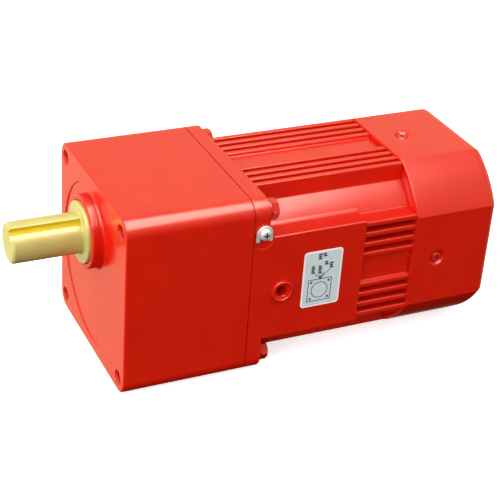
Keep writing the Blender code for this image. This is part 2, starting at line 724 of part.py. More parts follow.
def build_rotor():
    profile = [
        (MOTOR_PINION_X[0] - 0.4, 4.2),
        (64.3, 4.2),
        (64.3, SHAFT_STEP),
        (MOTOR_SEAL_X[0] - GAP, SHAFT_STEP),
        (MOTOR_SEAL_X[0] - GAP, 7.2),
        (88.0, 7.2),
        (88.0, 9.0),
        (157.4, 9.0),
        (157.4, 7.2),
        (171.0, 7.2),
        (171.0, SHAFT_STEP),
        (205.5, SHAFT_STEP - 0.6),
    ]
    shaft = add(turned("rotor_shaft", profile, 18), STEEL)
    outline = gear_outline(PINION_TEETH, FIRST_MODULE, direction(MOTOR_AXIS, FIRST_AXIS), 3)
    weld(shaft, plate("motor_pinion", outline, *MOTOR_PINION_X))
    notches = slotted_circle(ROTOR_RADIUS, ROTOR_SLOTS, ROTOR_SLOT_WIDTH, 22.5)
    core = plate("rotor_core", notches, STATOR_START, STATOR_END, holes=[circle(9.3, 16)])
    add(core, ELECTRICAL_STEEL)
    front = [(88.6, 17.5), (STATOR_START - GAP, 17.0), (STATOR_START - GAP, 26.2), (88.6, 25.0)]
    cage = add(turned_ring("rotor_cage", front, 16), CAST_ALUMINIUM)
    bar_half = ROTOR_SLOT_WIDTH / 2 - GAP
    bar_span = (STATOR_START - 2.0, STATOR_END + 2.0)
    weld(cage, slot_bars("cage_bars", ROTOR_SLOTS, bar_half, (22.8, 25.4), bar_span))
    rear = [(STATOR_START + STATOR_END - x, radius) for x, radius in reversed(front)]
    weld(cage, turned_ring("rear_ring", rear, 16))


def build_motor_bearings():
    seal = [
        (MOTOR_SEAL_X[0], MOTOR_SEAL_RADIUS),
        (MOTOR_SEAL_X[0], 7.5),
        (MOTOR_SEAL_X[0] + 1.6, 7.5),
        (MOTOR_SEAL_X[0] + 1.6, 11.2),
        (MOTOR_SEAL_X[1], 11.2),
        (MOTOR_SEAL_X[1], MOTOR_SEAL_RADIUS),
    ]
    add(turned_ring("motor_oil_seal", seal, 18), BLACK_RUBBER)
    for place, span in [("front", FRONT_MOTOR_BEARING_X), ("rear", REAR_MOTOR_BEARING_X)]:
        name = "rotor_bearing_" + place
        bearing(name, MOTOR_BEARING_BORE, MOTOR_BEARING_RADIUS, span, MOTOR_AXIS, 16)
    build_wave_washer()


def build_wave_washer():
    """Spring washer with three waves, between the rear bearing and its end shield."""
    steps = 24
    middle = 169.95
    amplitude = 0.25
    thickness = 0.5
    bm = bmesh.new()
    loops = []
    for radius, side in [(12.5, -1), (17.2, -1), (17.2, 1), (12.5, 1)]:
        loop = []
        for index in range(steps):
            angle = 2 * pi * index / steps
            x = middle + amplitude * cos(3 * angle) + side * thickness / 2
            loop.append(bm.verts.new((x * MM, radius * cos(angle) * MM, radius * sin(angle) * MM)))
        loops.append(loop)
    for first, second in zip(loops, loops[1:] + loops[:1]):
        for index in range(steps):
            following = (index + 1) % steps
            bm.faces.new([first[index], first[following], second[following], second[index]])
    add(finish_mesh(bm, "bearing_wave_washer"), STEEL)


def build_rear_end_shield():
    plate_start = BODY_END + GAP
    rim = cover_outline(COVER_WALL + GAP)
    body = ring_stack("rear_end_shield", [(plate_start, rim), (SHIELD_END, rim)])
    shield = add(body, RED_PAINT)
    weld(shield, turned("spigot", [(163.5, STATOR_RADIUS), (SPIGOT_END, STATOR_RADIUS)], 32))
    weld(shield, turned("bearing_hub", [(157.8, HUB_RADIUS), (SPIGOT_END, HUB_RADIUS)], 16))
    seats = [
        (155.0, MOTOR_BEARING_RADIUS + GAP),
        (170.8, MOTOR_BEARING_RADIUS + GAP),
        (170.8, 8.0),
        (175.0, 8.0),
    ]
    cut(shield, turned("rear_seats", seats, 16))
    lug_top = HALF - COVER_WALL - GAP - 0.2
    for quarter in range(4):
        turn = (quarter * pi / 2, 0, 0)
        lug = box("cover_lug", (172.0, -7.0, lug_top - 6.0), (190.0, 7.0, lug_top))
        weld(shield, lug, rotation=turn)
    for quarter in range(4):
        screw_hole = turned("cover_screw_hole", [(lug_top - 8.0, 2.0), (lug_top + 1.0, 2.0)], 8)
        cut(shield, screw_hole, location=(COVER_SCREW_X, 0, 0), rotation=turned_out(quarter))
    end_hole = [(165.0, END_SCREW_HOLE_RADIUS), (SHIELD_END + 1.5, END_SCREW_HOLE_RADIUS)]
    for y, z in corners(ENDSHIELD_SCREW_CIRCLE / sqrt(2)):
        cut(shield, turned("screw_hole", end_hole, 8), location=(0, y, z))


def turned_out(quarter):
    """Rotation that points a piece turned about X outward: up, +Y, down and -Y."""
    return [(0, -pi / 2, 0), (0, 0, pi / 2), (0, pi / 2, 0), (0, 0, -pi / 2)][quarter]


def build_end_shield_screws():
    seat = SHIELD_END + GAP
    profile = [(155.0, 2.0), (seat, 2.0), (seat, 3.5), (seat + 1.8, 3.5), (seat + 2.6, 2.4)]
    for index, (y, z) in enumerate(corners(ENDSHIELD_SCREW_CIRCLE / sqrt(2)), 1):
        add(turned(f"end_shield_screw_{index}", profile, 8), STEEL, location=(0, y, z))


def build_fan():
    blades = 8
    blade_half = 0.9
    hub = 12.0
    tip = 42.0
    outline = []
    for blade in range(blades):
        middle = 2 * pi * blade / blades
        along = (cos(middle), sin(middle))
        across = (-sin(middle), cos(middle))
        for reach, side in [(hub, -1), (tip, -1), (tip, 1), (hub, 1)]:
            y = along[0] * reach + across[0] * blade_half * side
            z = along[1] * reach + across[1] * blade_half * side
            outline.append((y, z))
    bore = circle(SHAFT_STEP + GAP, 14)
    fan = add(plate("cooling_fan", outline, 184.4, 201.5, holes=[bore]), BLACK_PLASTIC)
    disc = plate("fan_disc", circle(37.0, 24), 183.0, 185.0, holes=[circle(9.5, 12)])
    weld(fan, disc)
    clip = [(202.0, 7.0), (202.0, 9.6), (203.0, 9.6), (203.0, 7.0)]
    add(turned_ring("fan_clip", clip, 14), STEEL)


def build_fan_cover():
    rings = [(COVER_START, 0.5), (COVER_START + 0.5, 0.0)]
    steps = 3
    for index in range(steps + 1):
        angle = pi / 2 * index / steps
        x = COVER_END - COVER_REAR_RADIUS * (1 - sin(angle))
        rings.append((x, COVER_REAR_RADIUS * (1 - cos(angle))))
    inner = [(COVER_START, COVER_WALL), (COVER_END - COVER_REAR_RADIUS, COVER_WALL)]
    for index in range(1, 3):
        angle = pi / 4 * index
        bend = COVER_REAR_RADIUS - COVER_WALL
        x = COVER_END - COVER_REAR_RADIUS + bend * sin(angle)
        inner.append((x, COVER_WALL + bend * (1 - cos(angle))))
    stack = [(x, cover_outline(inset)) for x, inset in list(reversed(inner)) + rings]
    cover = add(ring_stack("fan_cover", stack), RED_PAINT)
    inside = HALF - COVER_WALL
    dimple_profile = [(inside - 1, 2.0), (inside + 0.5, 2.0), (HALF + 0.5, 4.8)]
    for quarter in range(4):
        dimple = turned("dimple", dimple_profile, 10)
        cut(cover, dimple, location=(COVER_SCREW_X, 0, 0), rotation=turned_out(quarter))
    cut_grille(cover)


def cut_grille(cover):
    """Parallel air slots inside a circle in the cover's rear wall, with a rib across the middle."""
    slot_half = 2.0
    slot_pitch = 7.2
    reach = 38.0
    rib_half = 2.6
    low_x = COVER_END - COVER_WALL - 1.0
    for column in range(-4, 5):
        y = column * slot_pitch
        height = sqrt(reach * reach - y * y)
        for side in (-1, 1):
            low = min(side * rib_half, side * height)
            high = max(side * rib_half, side * height)
            slot = box("slot", (low_x, y - slot_half, low), (COVER_END + 1, y + slot_half, high))
            cut(cover, slot)


# Fasteners and fittings ---------------------------------------------------------------------------
def build_cover_screws():
    seat = HALF - COVER_WALL
    profile = [(seat - 6.2, 1.7), (seat + 0.55, 1.7), (seat + 1.5, 3.0), (seat + 1.7, 3.0)]
    for quarter in range(4):
        name = f"cover_screw_{quarter + 1}"
        screw = turned(name, profile, 8)
        add(screw, RED_PAINT, location=(COVER_SCREW_X, 0, 0), rotation=turned_out(quarter))


def build_flange_bolts():
    washer_start = FLANGE_END + GAP
    washer_end = washer_start + 1.6
    head_start = washer_end + GAP
    head_end = head_start + 4.0
    washer = [(washer_start, 3.4), (washer_start, 5.9), (washer_end, 5.9), (washer_end, 3.4)]
    for index, (y, z) in enumerate(corners(CORNER_HOLE), 1):
        add(turned_ring(f"flange_washer_{index}", washer, 12), RED_PAINT, location=(0, y, z))
        shank = [(50.0, 3.0), (head_start + 1.0, 3.0)]
        bolt = add(turned(f"flange_bolt_{index}", shank, 8), RED_PAINT, location=(0, y, z))
        head = turned("head", [(head_start, 5.77), (head_end - 0.5, 5.77), (head_end, 5.2)], 6)
        weld(bolt, head, location=(0, y, z))


def build_ground_terminal():
    """Fork lug under a pan-head screw, over the spot face on the side of the flange."""
    place = (GROUND_X, 0, GROUND_Z)
    level = HALF + GAP
    thickness = 0.8
    ring = 4.6
    leg = ring - 1.9
    fork = 3.6
    drop = 4.6
    outline = arc(ring, 0.0, pi, 10)
    outline += [(-ring, -drop), (-leg, -drop), (-leg, -fork), (leg, -fork), (leg, -drop), (ring, -drop)]
    lug = plate("ground_lug", outline, level, level + thickness, holes=[circle(2.3, 12)])
    add(lug, ZINC_PLATE, location=place, rotation=OUT_OF_LABEL_SIDE)
    seat = level + thickness + GAP
    profile = [(HALF - 8.0, 1.6), (seat, 1.6), (seat, 3.2), (seat + 1.4, 3.2), (seat + 2.0, 2.2)]
    body = turned("ground_screw", profile, 12)
    screw = add(body, ZINC_PLATE, location=place, rotation=OUT_OF_LABEL_SIDE)
    for turn in (0, pi / 2):
        slot = box("cross", (seat + 0.8, -1.5, -0.3), (seat + 3, 1.5, 0.3))
        slot.transform(Matrix.Rotation(turn, 4, "X"))
        cut(screw, slot, location=place, rotation=OUT_OF_LABEL_SIDE)


def build_cable_grommet():
    level = HALF + GAP
    bore = 3.2
    profile = [
        (44.5, bore),
        (44.5, 4.6),
        (level, 4.6),
        (level, 6.4),
        (level + 0.7, 6.4),
        (level + 1.4, 5.4),
        (level + 1.4, bore + 0.7),
        (level + 0.4, bore),
    ]
    grommet = turned_ring("cable_grommet", profile, 16)
    add(grommet, RED_PAINT, location=(CABLE_X, 0, CABLE_Z), rotation=OUT_OF_LABEL_SIDE)


def build_wiring_label():
    low_x, high_x = 100.3, 123.4
    low_z, high_z = -16.0, 18.5
    level = HALF + GAP
    outline = rounded_rectangle((high_x - low_x) / 2, (high_z - low_z) / 2, 2.0, 3)
    middle = ((low_x + high_x) / 2, 0, (low_z + high_z) / 2)
    label = plate("wiring_label", outline, level, level + 0.2)
    add(label, LABEL_FILM, location=middle, rotation=OUT_OF_LABEL_SIDE)


def main():
    for thing in list(bpy.data.objects):
        bpy.data.objects.remove(thing, do_unlink=True)
    make_root()
    build_gearbox_housing()
    build_gear_train()
    build_gearbox_bearings()
    build_bearing_plate()
    build_motor_frame()
    build_stator()
    build_rotor()
    build_motor_bearings()
    build_rear_end_shield()
    build_end_shield_screws()
    build_fan()
    build_fan_cover()
    build_cover_screws()
    build_flange_bolts()
    build_ground_terminal()
    build_cable_grommet()
    build_wiring_label()


main()
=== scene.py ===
"""Looks of the gearmotor: its visible pieces in fine detail, its materials, a studio and a camera.

The detailed pieces are modelled in the gearmotor's own layout, in millimetres: X runs along the
motor axis from the gear head's mounting face to the fan cover, -Y is the side with the wiring
label, and the motor axis is Y = Z = 0.  LAYOUT is that layout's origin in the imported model.
"""

import json
from math import acos, asin, cos, pi, radians, sin, sqrt, tan

import bmesh
import bpy
from mathutils import Matrix, Quaternion, Vector


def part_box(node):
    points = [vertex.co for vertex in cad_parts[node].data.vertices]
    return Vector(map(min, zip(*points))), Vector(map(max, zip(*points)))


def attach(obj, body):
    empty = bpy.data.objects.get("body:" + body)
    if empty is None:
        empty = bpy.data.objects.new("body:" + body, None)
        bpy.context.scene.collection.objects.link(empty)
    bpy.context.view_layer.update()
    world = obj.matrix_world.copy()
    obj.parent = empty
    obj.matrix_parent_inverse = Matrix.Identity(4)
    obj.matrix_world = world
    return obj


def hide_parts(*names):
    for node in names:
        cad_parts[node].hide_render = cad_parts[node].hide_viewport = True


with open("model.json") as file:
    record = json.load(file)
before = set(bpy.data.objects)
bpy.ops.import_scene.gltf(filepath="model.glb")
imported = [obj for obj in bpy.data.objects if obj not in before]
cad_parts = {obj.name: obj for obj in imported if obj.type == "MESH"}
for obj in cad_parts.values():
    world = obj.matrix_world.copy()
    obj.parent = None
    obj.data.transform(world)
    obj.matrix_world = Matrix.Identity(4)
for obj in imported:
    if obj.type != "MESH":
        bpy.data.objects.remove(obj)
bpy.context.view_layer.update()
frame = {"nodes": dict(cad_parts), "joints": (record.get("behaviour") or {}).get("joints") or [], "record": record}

MM = 0.001
# Air between touching pieces, and how far a cutter reaches past the surface it opens
GAP = 0.3
OVERRUN = 1.0
JOINT_AT = {joint["name"]: Vector(joint["pos_m"]) for joint in frame["joints"]}

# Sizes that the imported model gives, in millimetres -------------------------------------------
GEARBOX_END = 70.0
GEARBOX_BACK = GEARBOX_END - GAP / 2
LAYOUT = Vector((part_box("gearbox_housing")[1].x - GEARBOX_BACK * MM, 0, JOINT_AT["rotor_spin"].z))


def layout_x(node, end):
    """X of the low (0) or high (1) end of a CAD node, in the layout."""
    return (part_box(node)[end].x - LAYOUT.x) / MM


HALF = (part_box("fan_cover")[1].z - LAYOUT.z) / MM
OUTPUT_Z = (JOINT_AT["output_spin"].z - LAYOUT.z) / MM
SHAFT_TIP = layout_x("output_shaft", 0)
BODY_END = layout_x("motor_frame", 1)
COVER_START = layout_x("fan_cover", 0)
COVER_END = layout_x("fan_cover", 1)

# Gear head
EDGE_RADIUS = 8.9
FLANGE_END = 79.0
BOSS_RADIUS = 20.1
BOSS_FRONT = -6.0
COLLAR_RADIUS = 16.8
COLLAR_FRONT = -7.6
COLLAR_BACK = -3.6
SEAL_BACK = 4.4
SHAFT_RADIUS = 11.1
RECESS_RADIUS = 45.5
RECESS_DEPTH = 0.6
CORNER_HOLE = 43.7
THREAD_PITCH = 1.25
KEYWAY_HALF = 3.0
KEYWAY_FLOOR = 7.6
KEYWAY_TILT = radians(37.5)
# Across the keyway floor, where the painted-light yellow begins
KEYWAY_PAINT_EDGE = 0.3
SHAFT_SEAT_RADIUS = 9.7
REAR_JOURNAL_RADIUS = 5.7
GEAR_CAVITY_RADIUS = 45.4
PLATE_SEAT = (64.2, 46.8)
SEAL_SEAT_RADIUS = 17.9
BOLT_CLEARANCE_RADIUS = 3.35

# Motor
BARREL_RADIUS = 51.0
FIN_HALF_WIDTH = 30.0
FIN_PITCH = 6.3
FIN_WIDTH = 3.2
FIN_LEVEL = 51.2
PAD_HALF_WIDTH = 31.5
PAD_END = 136.6
PAD_EDGE_RADIUS = 0.9
FIN_EDGE_RADIUS = 1.0
SLOT_FLOOR_RADIUS = 47.0
PANEL_DEPTH = 2.2
STATOR_BORE = 43.3
END_SCREW_DISTANCE = 47.2 / sqrt(2)
END_SCREW_HOLE = (152.0, 2.35)
GROUND = (75.6, 34.8)
SPOT_FACE_DROP = 3.6
TAPPED_HOLE_RADIUS = 1.9
CABLE = (88.5, -2.6)
CABLE_HOLE_RADIUS = 4.9
CABLE_BORE_RADIUS = 3.2
CABLE_RING_RADIUS = 6.4
LABEL_X = (100.3, 123.4)
LABEL_Z = (-16.0, 18.5)
LABEL_MARGIN = 0.9
OUT_OF_LABEL_SIDE = (0.0, 0.0, -pi / 2)

# Cross-recess screws: shares of the head's radius, of the recess's reach and of the head's height
RECESS_REACH = 0.66
RECESS_ARM = 0.22
RECESS_DEPTH_SHARE = 0.85
RECESS_TAPER = (0.45, 1.15)
RIM_SHARE = 0.42
SHOULDER_SHARE = 0.93

# Fan cover
COVER_CIRCLE = 59.0
COVER_WALL = 2.3
COVER_REAR_RADIUS = 7.0
COVER_CREASE = 0.6
COVER_CREASE_GROWTH = 7.0
COVER_SCREW_X = 184.6
GRILLE_RADIUS = 38.0
GRILLE_PITCH = 7.2
GRILLE_SLOT_HALF = 2.0
GRILLE_RIB_HALF = 2.6

# Meshes
SHARP_ANGLE = radians(42)
CORNER_STEPS = 18


# Outlines: lists of (y, z) points in millimetres ---------------------------------------------
def arc(radius, start, end, steps, centre=(0.0, 0.0)):
    points = []
    for index in range(steps + 1):
        angle = start + (end - start) * index / steps
        points.append((centre[0] + radius * cos(angle), centre[1] + radius * sin(angle)))
    return points


def circle(radius, steps):
    return arc(radius, 0.0, 2 * pi, steps)[:-1]


def rounded_rectangle(half_y, half_z, radius, steps):
    points = []
    for quarter, (sign_y, sign_z) in enumerate([(1, 1), (-1, 1), (-1, -1), (1, -1)]):
        centre = (sign_y * (half_y - radius), sign_z * (half_z - radius))
        points += arc(radius, quarter * pi / 2, (quarter + 1) * pi / 2, steps, centre)
    return points


def softened(points, radius, steps=3):
    """The same outline with every corner sharper than 20 degrees rounded off."""
    soft = []
    for index, corner in enumerate(points):
        here = Vector(corner)
        before = Vector(points[index - 1]) - here
        after = Vector(points[(index + 1) % len(points)]) - here
        turn = pi - before.angle(after)
        if turn < radians(20):
            soft.append(corner)
            continue
        reach = min(radius * tan(turn / 2), 0.45 * before.length, 0.45 * after.length)
        start = here + before.normalized() * reach
        end = here + after.normalized() * reach
        for step in range(steps + 1):
            share = step / steps
            soft.append(tuple(start.lerp(here, share).lerp(here.lerp(end, share), share)))
    return soft


def square_outline(inset):
    """The gear head's and motor flange's outline, this far inside it."""
    return rounded_rectangle(HALF - inset, HALF - inset, EDGE_RADIUS - inset, CORNER_STEPS)


def cover_outline(inset, crease):
    """Square with flat sides and one big circle's arcs for corners, with a little radius between."""
    radius = COVER_CIRCLE - inset
    start = acos((HALF - inset) / radius)
    points = []
    for quarter in range(4):
        turn = quarter * pi / 2
        points += arc(radius, turn + start, turn + pi / 2 - start, 20)
    return softened(points, crease, 4)


def fin_side():
    """Fins and slots of one side of the motor frame, as (across, outward) points."""
    left = []
    for index in range(3):
        outer = FIN_HALF_WIDTH - index * FIN_PITCH
        inner = outer - FIN_WIDTH
        next_outer = outer - FIN_PITCH
        left += [(-outer, FIN_LEVEL), (-inner, FIN_LEVEL)]
        left += [(-inner, sqrt(SLOT_FLOOR_RADIUS ** 2 - inner ** 2))]
        left += [(-next_outer, sqrt(SLOT_FLOOR_RADIUS ** 2 - next_outer ** 2))]
    panel_half = FIN_HALF_WIDTH - 3 * FIN_PITCH - FIN_WIDTH
    left += [(-panel_half - FIN_WIDTH, FIN_LEVEL), (-panel_half, FIN_LEVEL)]
    left += [(-panel_half, FIN_LEVEL - PANEL_DEPTH)]
    return left + [(-across, outward) for across, outward in reversed(left)]


def facing(points, angle):
    """Turns (across, outward) points so that outward lies along the angle."""
    turned_points = []
    for across, outward in points:
        y = outward * cos(angle) - across * sin(angle)
        z = outward * sin(angle) + across * cos(angle)
        turned_points.append((y, z))
    return turned_points


def frame_outline():
    """Barrel with fins on all four sides."""
    points = []
    for side in range(4):
        angle = side * pi / 2
        points += facing(fin_side(), angle)
        start = angle + asin(FIN_HALF_WIDTH / BARREL_RADIUS)
        end = angle + pi / 2 - asin(FIN_HALF_WIDTH / BARREL_RADIUS)
        points += arc(BARREL_RADIUS, start, end, 14)
    return softened(points, FIN_EDGE_RADIUS)


def pad_outline():
    """Flat pad for the label, with a fillet where its sides meet the barrel."""
    flare = [(1.7, 38.4), (1.0, 39.7), (0.4, 40.7), (0.0, 42.0)]
    left = [(-PAD_HALF_WIDTH - across, outward) for across, outward in flare]
    right = [(-across, outward) for across, outward in reversed(left)]
    pad = left + [(-PAD_HALF_WIDTH, HALF), (PAD_HALF_WIDTH, HALF)] + right
    return softened(facing(pad, pi), PAD_EDGE_RADIUS, 5)


def rounding(start, end, steps=4):
    """Quarter round between two (x, radius) points that bulges toward (start x, end radius)."""
    points = []
    for index in range(steps + 1):
        angle = pi / 2 * index / steps
        x = start[0] + (end[0] - start[0]) * (1 - cos(angle))
        radius = start[1] + (end[1] - start[1]) * sin(angle)
        points.append((x, radius))
    return points


# Meshes --------------------------------------------------------------------------------------
def finish_mesh(bm, name):
    bmesh.ops.connect_verts_nonplanar(bm, angle_limit=radians(0.1), faces=bm.faces)
    bmesh.ops.recalc_face_normals(bm, faces=bm.faces)
    mesh = bpy.data.meshes.new(name)
    bm.to_mesh(mesh)
    bm.free()
    return mesh


def ring_stack(rings, closed=False):
    """Skin through rings of equal point count, given as (x, outline); ends are capped."""
    bm = bmesh.new()
    loops = []
    for x, outline in rings:
        loops.append([bm.verts.new((x * MM, y * MM, z * MM)) for y, z in outline])
    pairs = list(zip(loops, loops[1:]))
    if closed:
        pairs.append((loops[-1], loops[0]))
    for first, second in pairs:
        for index in range(len(first)):
            following = (index + 1) % len(first)
            bm.faces.new([first[index], first[following], second[following], second[index]])
    if not closed:
        bm.faces.new(list(reversed(loops[0])))
        bm.faces.new(loops[-1])
    return finish_mesh(bm, "shape")


def turned(profile, steps=64):
    return ring_stack([(x, circle(radius, steps)) for x, radius in profile])


def turned_ring(profile, steps=64):
    return ring_stack([(x, circle(radius, steps)) for x, radius in profile], closed=True)


def prism(outline, start, end):
    return ring_stack([(start, outline), (end, outline)])


def placement(location=(0.0, 0.0, 0.0), rotation=(0.0, 0.0, 0.0)):
    """Matrix that turns by Euler angles and then moves by a distance in millimetres."""
    place = Matrix.Translation(Vector(location) * MM)
    for axis, angle in zip("XYZ", rotation):
        place = place @ Matrix.Rotation(angle, 4, axis)
    return place


def moved(mesh, location=(0.0, 0.0, 0.0), rotation=(0.0, 0.0, 0.0)):
    mesh.transform(placement(location, rotation))
    return mesh


def joined(meshes):
    bm = bmesh.new()
    for mesh in meshes:
        bm.from_mesh(mesh)
        bpy.data.meshes.remove(mesh)
    mesh = bpy.data.meshes.new("shape")
    bm.to_mesh(mesh)
    bm.free()
    return mesh


def combine(mesh, other, operation):
    """Boolean of two meshes; the first is replaced by the result and both inputs are removed."""
    target = bpy.data.objects.new("target", mesh)
    tool = bpy.data.objects.new("tool", other)
    for thing in (target, tool):
        bpy.context.scene.collection.objects.link(thing)
    modifier = target.modifiers.new("combine", "BOOLEAN")
    modifier.operation = operation
    modifier.solver = "EXACT"
    modifier.object = tool
    bpy.context.view_layer.update()
    evaluated = target.evaluated_get(bpy.context.evaluated_depsgraph_get())
    result = bpy.data.meshes.new_from_object(evaluated)
    for thing in (target, tool):
        bpy.data.objects.remove(thing, do_unlink=True)
    bpy.data.meshes.remove(mesh)
    bpy.data.meshes.remove(other)
    assert len(result.polygons) > 0, "a Boolean came out empty"
    return result


def cut(mesh, other):
    return combine(mesh, other, "DIFFERENCE")


def weld(mesh, other):
    return combine(mesh, other, "UNION")


def corners(distance):
    return [(y * distance, z * distance) for y, z in [(1, 1), (-1, 1), (-1, -1), (1, -1)]]


def at_corners(make, distance):
    """Copies of a shape turned about X, one at each corner."""
    return joined([moved(make(), (0, y, z)) for y, z in corners(distance)])


def turned_out(quarter):
    """Rotation that points a piece turned about X outward: up, +Y, down and -Y."""
    return [(0, -pi / 2, 0), (0, 0, pi / 2), (0, pi / 2, 0), (0, 0, -pi / 2)][quarter]


# Materials: all procedural -------------------------------------------------------------------
class Shader:
    """A node material with short calls for the nodes used here."""

    def __init__(self, name):
        self.material = bpy.data.materials.new(name)
        self.material.use_nodes = True
        self.tree = self.material.node_tree
        self.surface = self.tree.nodes["Principled BSDF"]
        coordinates = self.tree.nodes.new("ShaderNodeTexCoord")
        self.coordinates = coordinates.outputs["Object"]

    def link(self, output, socket):
        self.tree.links.new(output, socket)

    def set(self, **values):
        for key, value in values.items():
            self.surface.inputs[key.replace("_", " ")].default_value = value

    def noise(self, scale, detail=2.0, stretch=(1, 1, 1)):
        mapping = self.tree.nodes.new("ShaderNodeMapping")
        mapping.inputs["Scale"].default_value = stretch
        self.link(self.coordinates, mapping.inputs["Vector"])
        texture = self.tree.nodes.new("ShaderNodeTexNoise")
        texture.inputs["Scale"].default_value = scale
        texture.inputs["Detail"].default_value = detail
        self.link(mapping.outputs["Vector"], texture.inputs["Vector"])
        return texture.outputs["Fac"]

    def ramp(self, value, low, high, start=0.3, end=0.7):
        ramp = self.tree.nodes.new("ShaderNodeValToRGB")
        ramp.color_ramp.elements[0].position = start
        ramp.color_ramp.elements[1].position = end
        ramp.color_ramp.elements[0].color = (*low, 1.0)
        ramp.color_ramp.elements[1].color = (*high, 1.0)
        self.link(value, ramp.inputs["Fac"])
        return ramp.outputs["Color"]

    def spread(self, value, low, high):
        """Maps 0..1 noise to a range."""
        node = self.tree.nodes.new("ShaderNodeMapRange")
        node.inputs["To Min"].default_value = low
        node.inputs["To Max"].default_value = high
        self.link(value, node.inputs["Value"])
        return node.outputs["Result"]

    def bump(self, height, strength, distance):
        node = self.tree.nodes.new("ShaderNodeBump")
        node.inputs["Strength"].default_value = strength
        node.inputs["Distance"].default_value = distance
        self.link(height, node.inputs["Height"])
        self.link(node.outputs["Normal"], self.surface.inputs["Normal"])

    def finish(self, colours, roughness, metallic, variation=60.0):
        """Base colour that drifts between two values, and a roughness that does the same."""
        tone = self.noise(variation, 3.0)
        self.link(self.ramp(tone, *colours), self.surface.inputs["Base Color"])
        self.link(self.spread(tone, *roughness), self.surface.inputs["Roughness"])
        self.set(Metallic=metallic)


def red_paint():
    """Gloss enamel over a casting, with faint orange peel and a little drift in tone."""
    shader = Shader("red_paint")
    shader.finish([(0.60, 0.0080, 0.0008), (0.64, 0.0105, 0.0011)], (0.20, 0.27), 0.0, 40.0)
    shader.set(Specular_IOR_Level=0.5, IOR=1.5)
    shader.bump(shader.noise(700.0, 2.0), 0.06, 0.0001)
    return shader.material


def oiled_film():
    """Turned steel under a yellow preservative film, with fine rings round the shaft."""
    shader = Shader("oiled_shaft_steel")
    shader.finish([(0.54, 0.46, 0.13), (0.58, 0.51, 0.17)], (0.26, 0.36), 0.12, 90.0)
    shader.bump(shader.noise(900.0, 2.0, (6.0, 0.15, 0.15)), 0.10, 0.0001)
    return shader.material


def keyway_painted_light():
    """Painted light for the keyway: a brighter, deeper yellow than the shaft's, which offsets the keyway's shade,
    without steel's shine.
    """
    shader = Shader("keyway_painted_light")
    shader.finish([(0.64, 0.48, 0.010), (0.72, 0.56, 0.014)], (0.45, 0.60), 0.0, 90.0)
    shader.set(Specular_IOR_Level=0.12)
    return shader.material


def machined_steel(name, tone, roughness, stretch):
    """Steel with the fine marks of turning or grinding."""
    shader = Shader(name)
    darker = tuple(value * 0.86 for value in tone)
    shader.finish([darker, tone], roughness, 1.0, 120.0)
    shader.bump(shader.noise(1100.0, 2.0, stretch), 0.12, 0.0001)
    return shader.material


def cast_metal(name, tone):
    shader = Shader(name)
    darker = tuple(value * 0.8 for value in tone)
    shader.finish([darker, tone], (0.42, 0.62), 1.0, 150.0)
    shader.bump(shader.noise(900.0, 5.0), 0.35, 0.0002)
    return shader.material


def copper_winding():
    """Enamelled wire: fine dark lines between turns."""
    shader = Shader("copper_winding")
    turns = shader.noise(400.0, 1.0, (8.0, 0.6, 0.6))
    colour = shader.ramp(turns, (0.22, 0.05, 0.015), (0.70, 0.24, 0.07))
    shader.link(colour, shader.surface.inputs["Base Color"])
    shader.set(Metallic=0.8, Roughness=0.28, Coat_Weight=0.6, Coat_Roughness=0.08)
    shader.bump(turns, 0.5, 0.0003)
    return shader.material


def dull_black(name, roughness):
    shader = Shader(name)
    shader.finish([(0.012, 0.012, 0.013), (0.028, 0.028, 0.030)], roughness, 0.0, 200.0)
    shader.bump(shader.noise(1500.0, 3.0), 0.2, 0.0001)
    return shader.material


def label_film():
    """Pale grey printed film with a faint mottle."""
    shader = Shader("label_film")
    shader.finish([(0.58, 0.66, 0.66), (0.64, 0.72, 0.72)], (0.30, 0.40), 0.0, 500.0)
    return shader.material


def label_ink():
    shader = Shader("label_ink")
    shader.finish([(0.006, 0.007, 0.009), (0.015, 0.017, 0.02)], (0.40, 0.50), 0.0, 900.0)
    return shader.material


def label_border():
    """The film's bare white margin."""
    shader = Shader("label_border")
    shader.finish([(0.98, 0.87, 0.84), (1.0, 0.92, 0.90)], (0.25, 0.35), 0.0, 500.0)
    return shader.material


def zinc_plate():
    """Dull bright plating, which scatters enough light to look pale from every side."""
    shader = Shader("zinc_plate")
    shader.finish([(0.66, 0.66, 0.66), (0.78, 0.78, 0.78)], (0.34, 0.46), 0.45, 300.0)
    shader.bump(shader.noise(1400.0, 3.0), 0.15, 0.0001)
    return shader.material


# name: (tone, roughness, stretch of the turning or grinding marks)
STEELS = {
    "gear_steel": ((0.42, 0.43, 0.45), (0.25, 0.38), (0.3, 3.0, 3.0)),
    "bearing_steel": ((0.70, 0.71, 0.73), (0.14, 0.24), (6.0, 0.2, 0.2)),
    "plain_steel": ((0.55, 0.56, 0.58), (0.28, 0.42), (5.0, 0.3, 0.3)),
    "electrical_steel": ((0.32, 0.33, 0.35), (0.40, 0.55), (9.0, 0.1, 0.1)),
}
MATERIALS = {name: machined_steel(name, *look) for name, look in STEELS.items()}
MATERIALS |= {
    "red_paint": red_paint(),
    "oiled_shaft_steel": oiled_film(),
    # painted light: a brighter yellow that offsets the shade in the keyway
    "keyway_painted_light": keyway_painted_light(),
    "cast_aluminium": cast_metal("cast_aluminium", (0.72, 0.73, 0.74)),
    "copper_winding": copper_winding(),
    "seal_rubber": dull_black("seal_rubber", (0.60, 0.75)),
    "fan_plastic": dull_black("fan_plastic", (0.40, 0.55)),
    # painted shade: a dark material for the faces inside the screws' cross recesses
    "recess_painted_shade": dull_black("recess_painted_shade", (0.5, 0.7)),
    "zinc_plate": zinc_plate(),
    "label_film": label_film(),
    "label_border": label_border(),
    "label_ink": label_ink(),
}


def dress_cad_nodes():
    """Gives every CAD node the procedural material of its slot."""
    for part in frame["record"]["subparts"]:
        node = frame["nodes"][part["node"]]
        for material_slot in node.material_slots:
            material_slot.material = MATERIALS[part["material_slot"]]


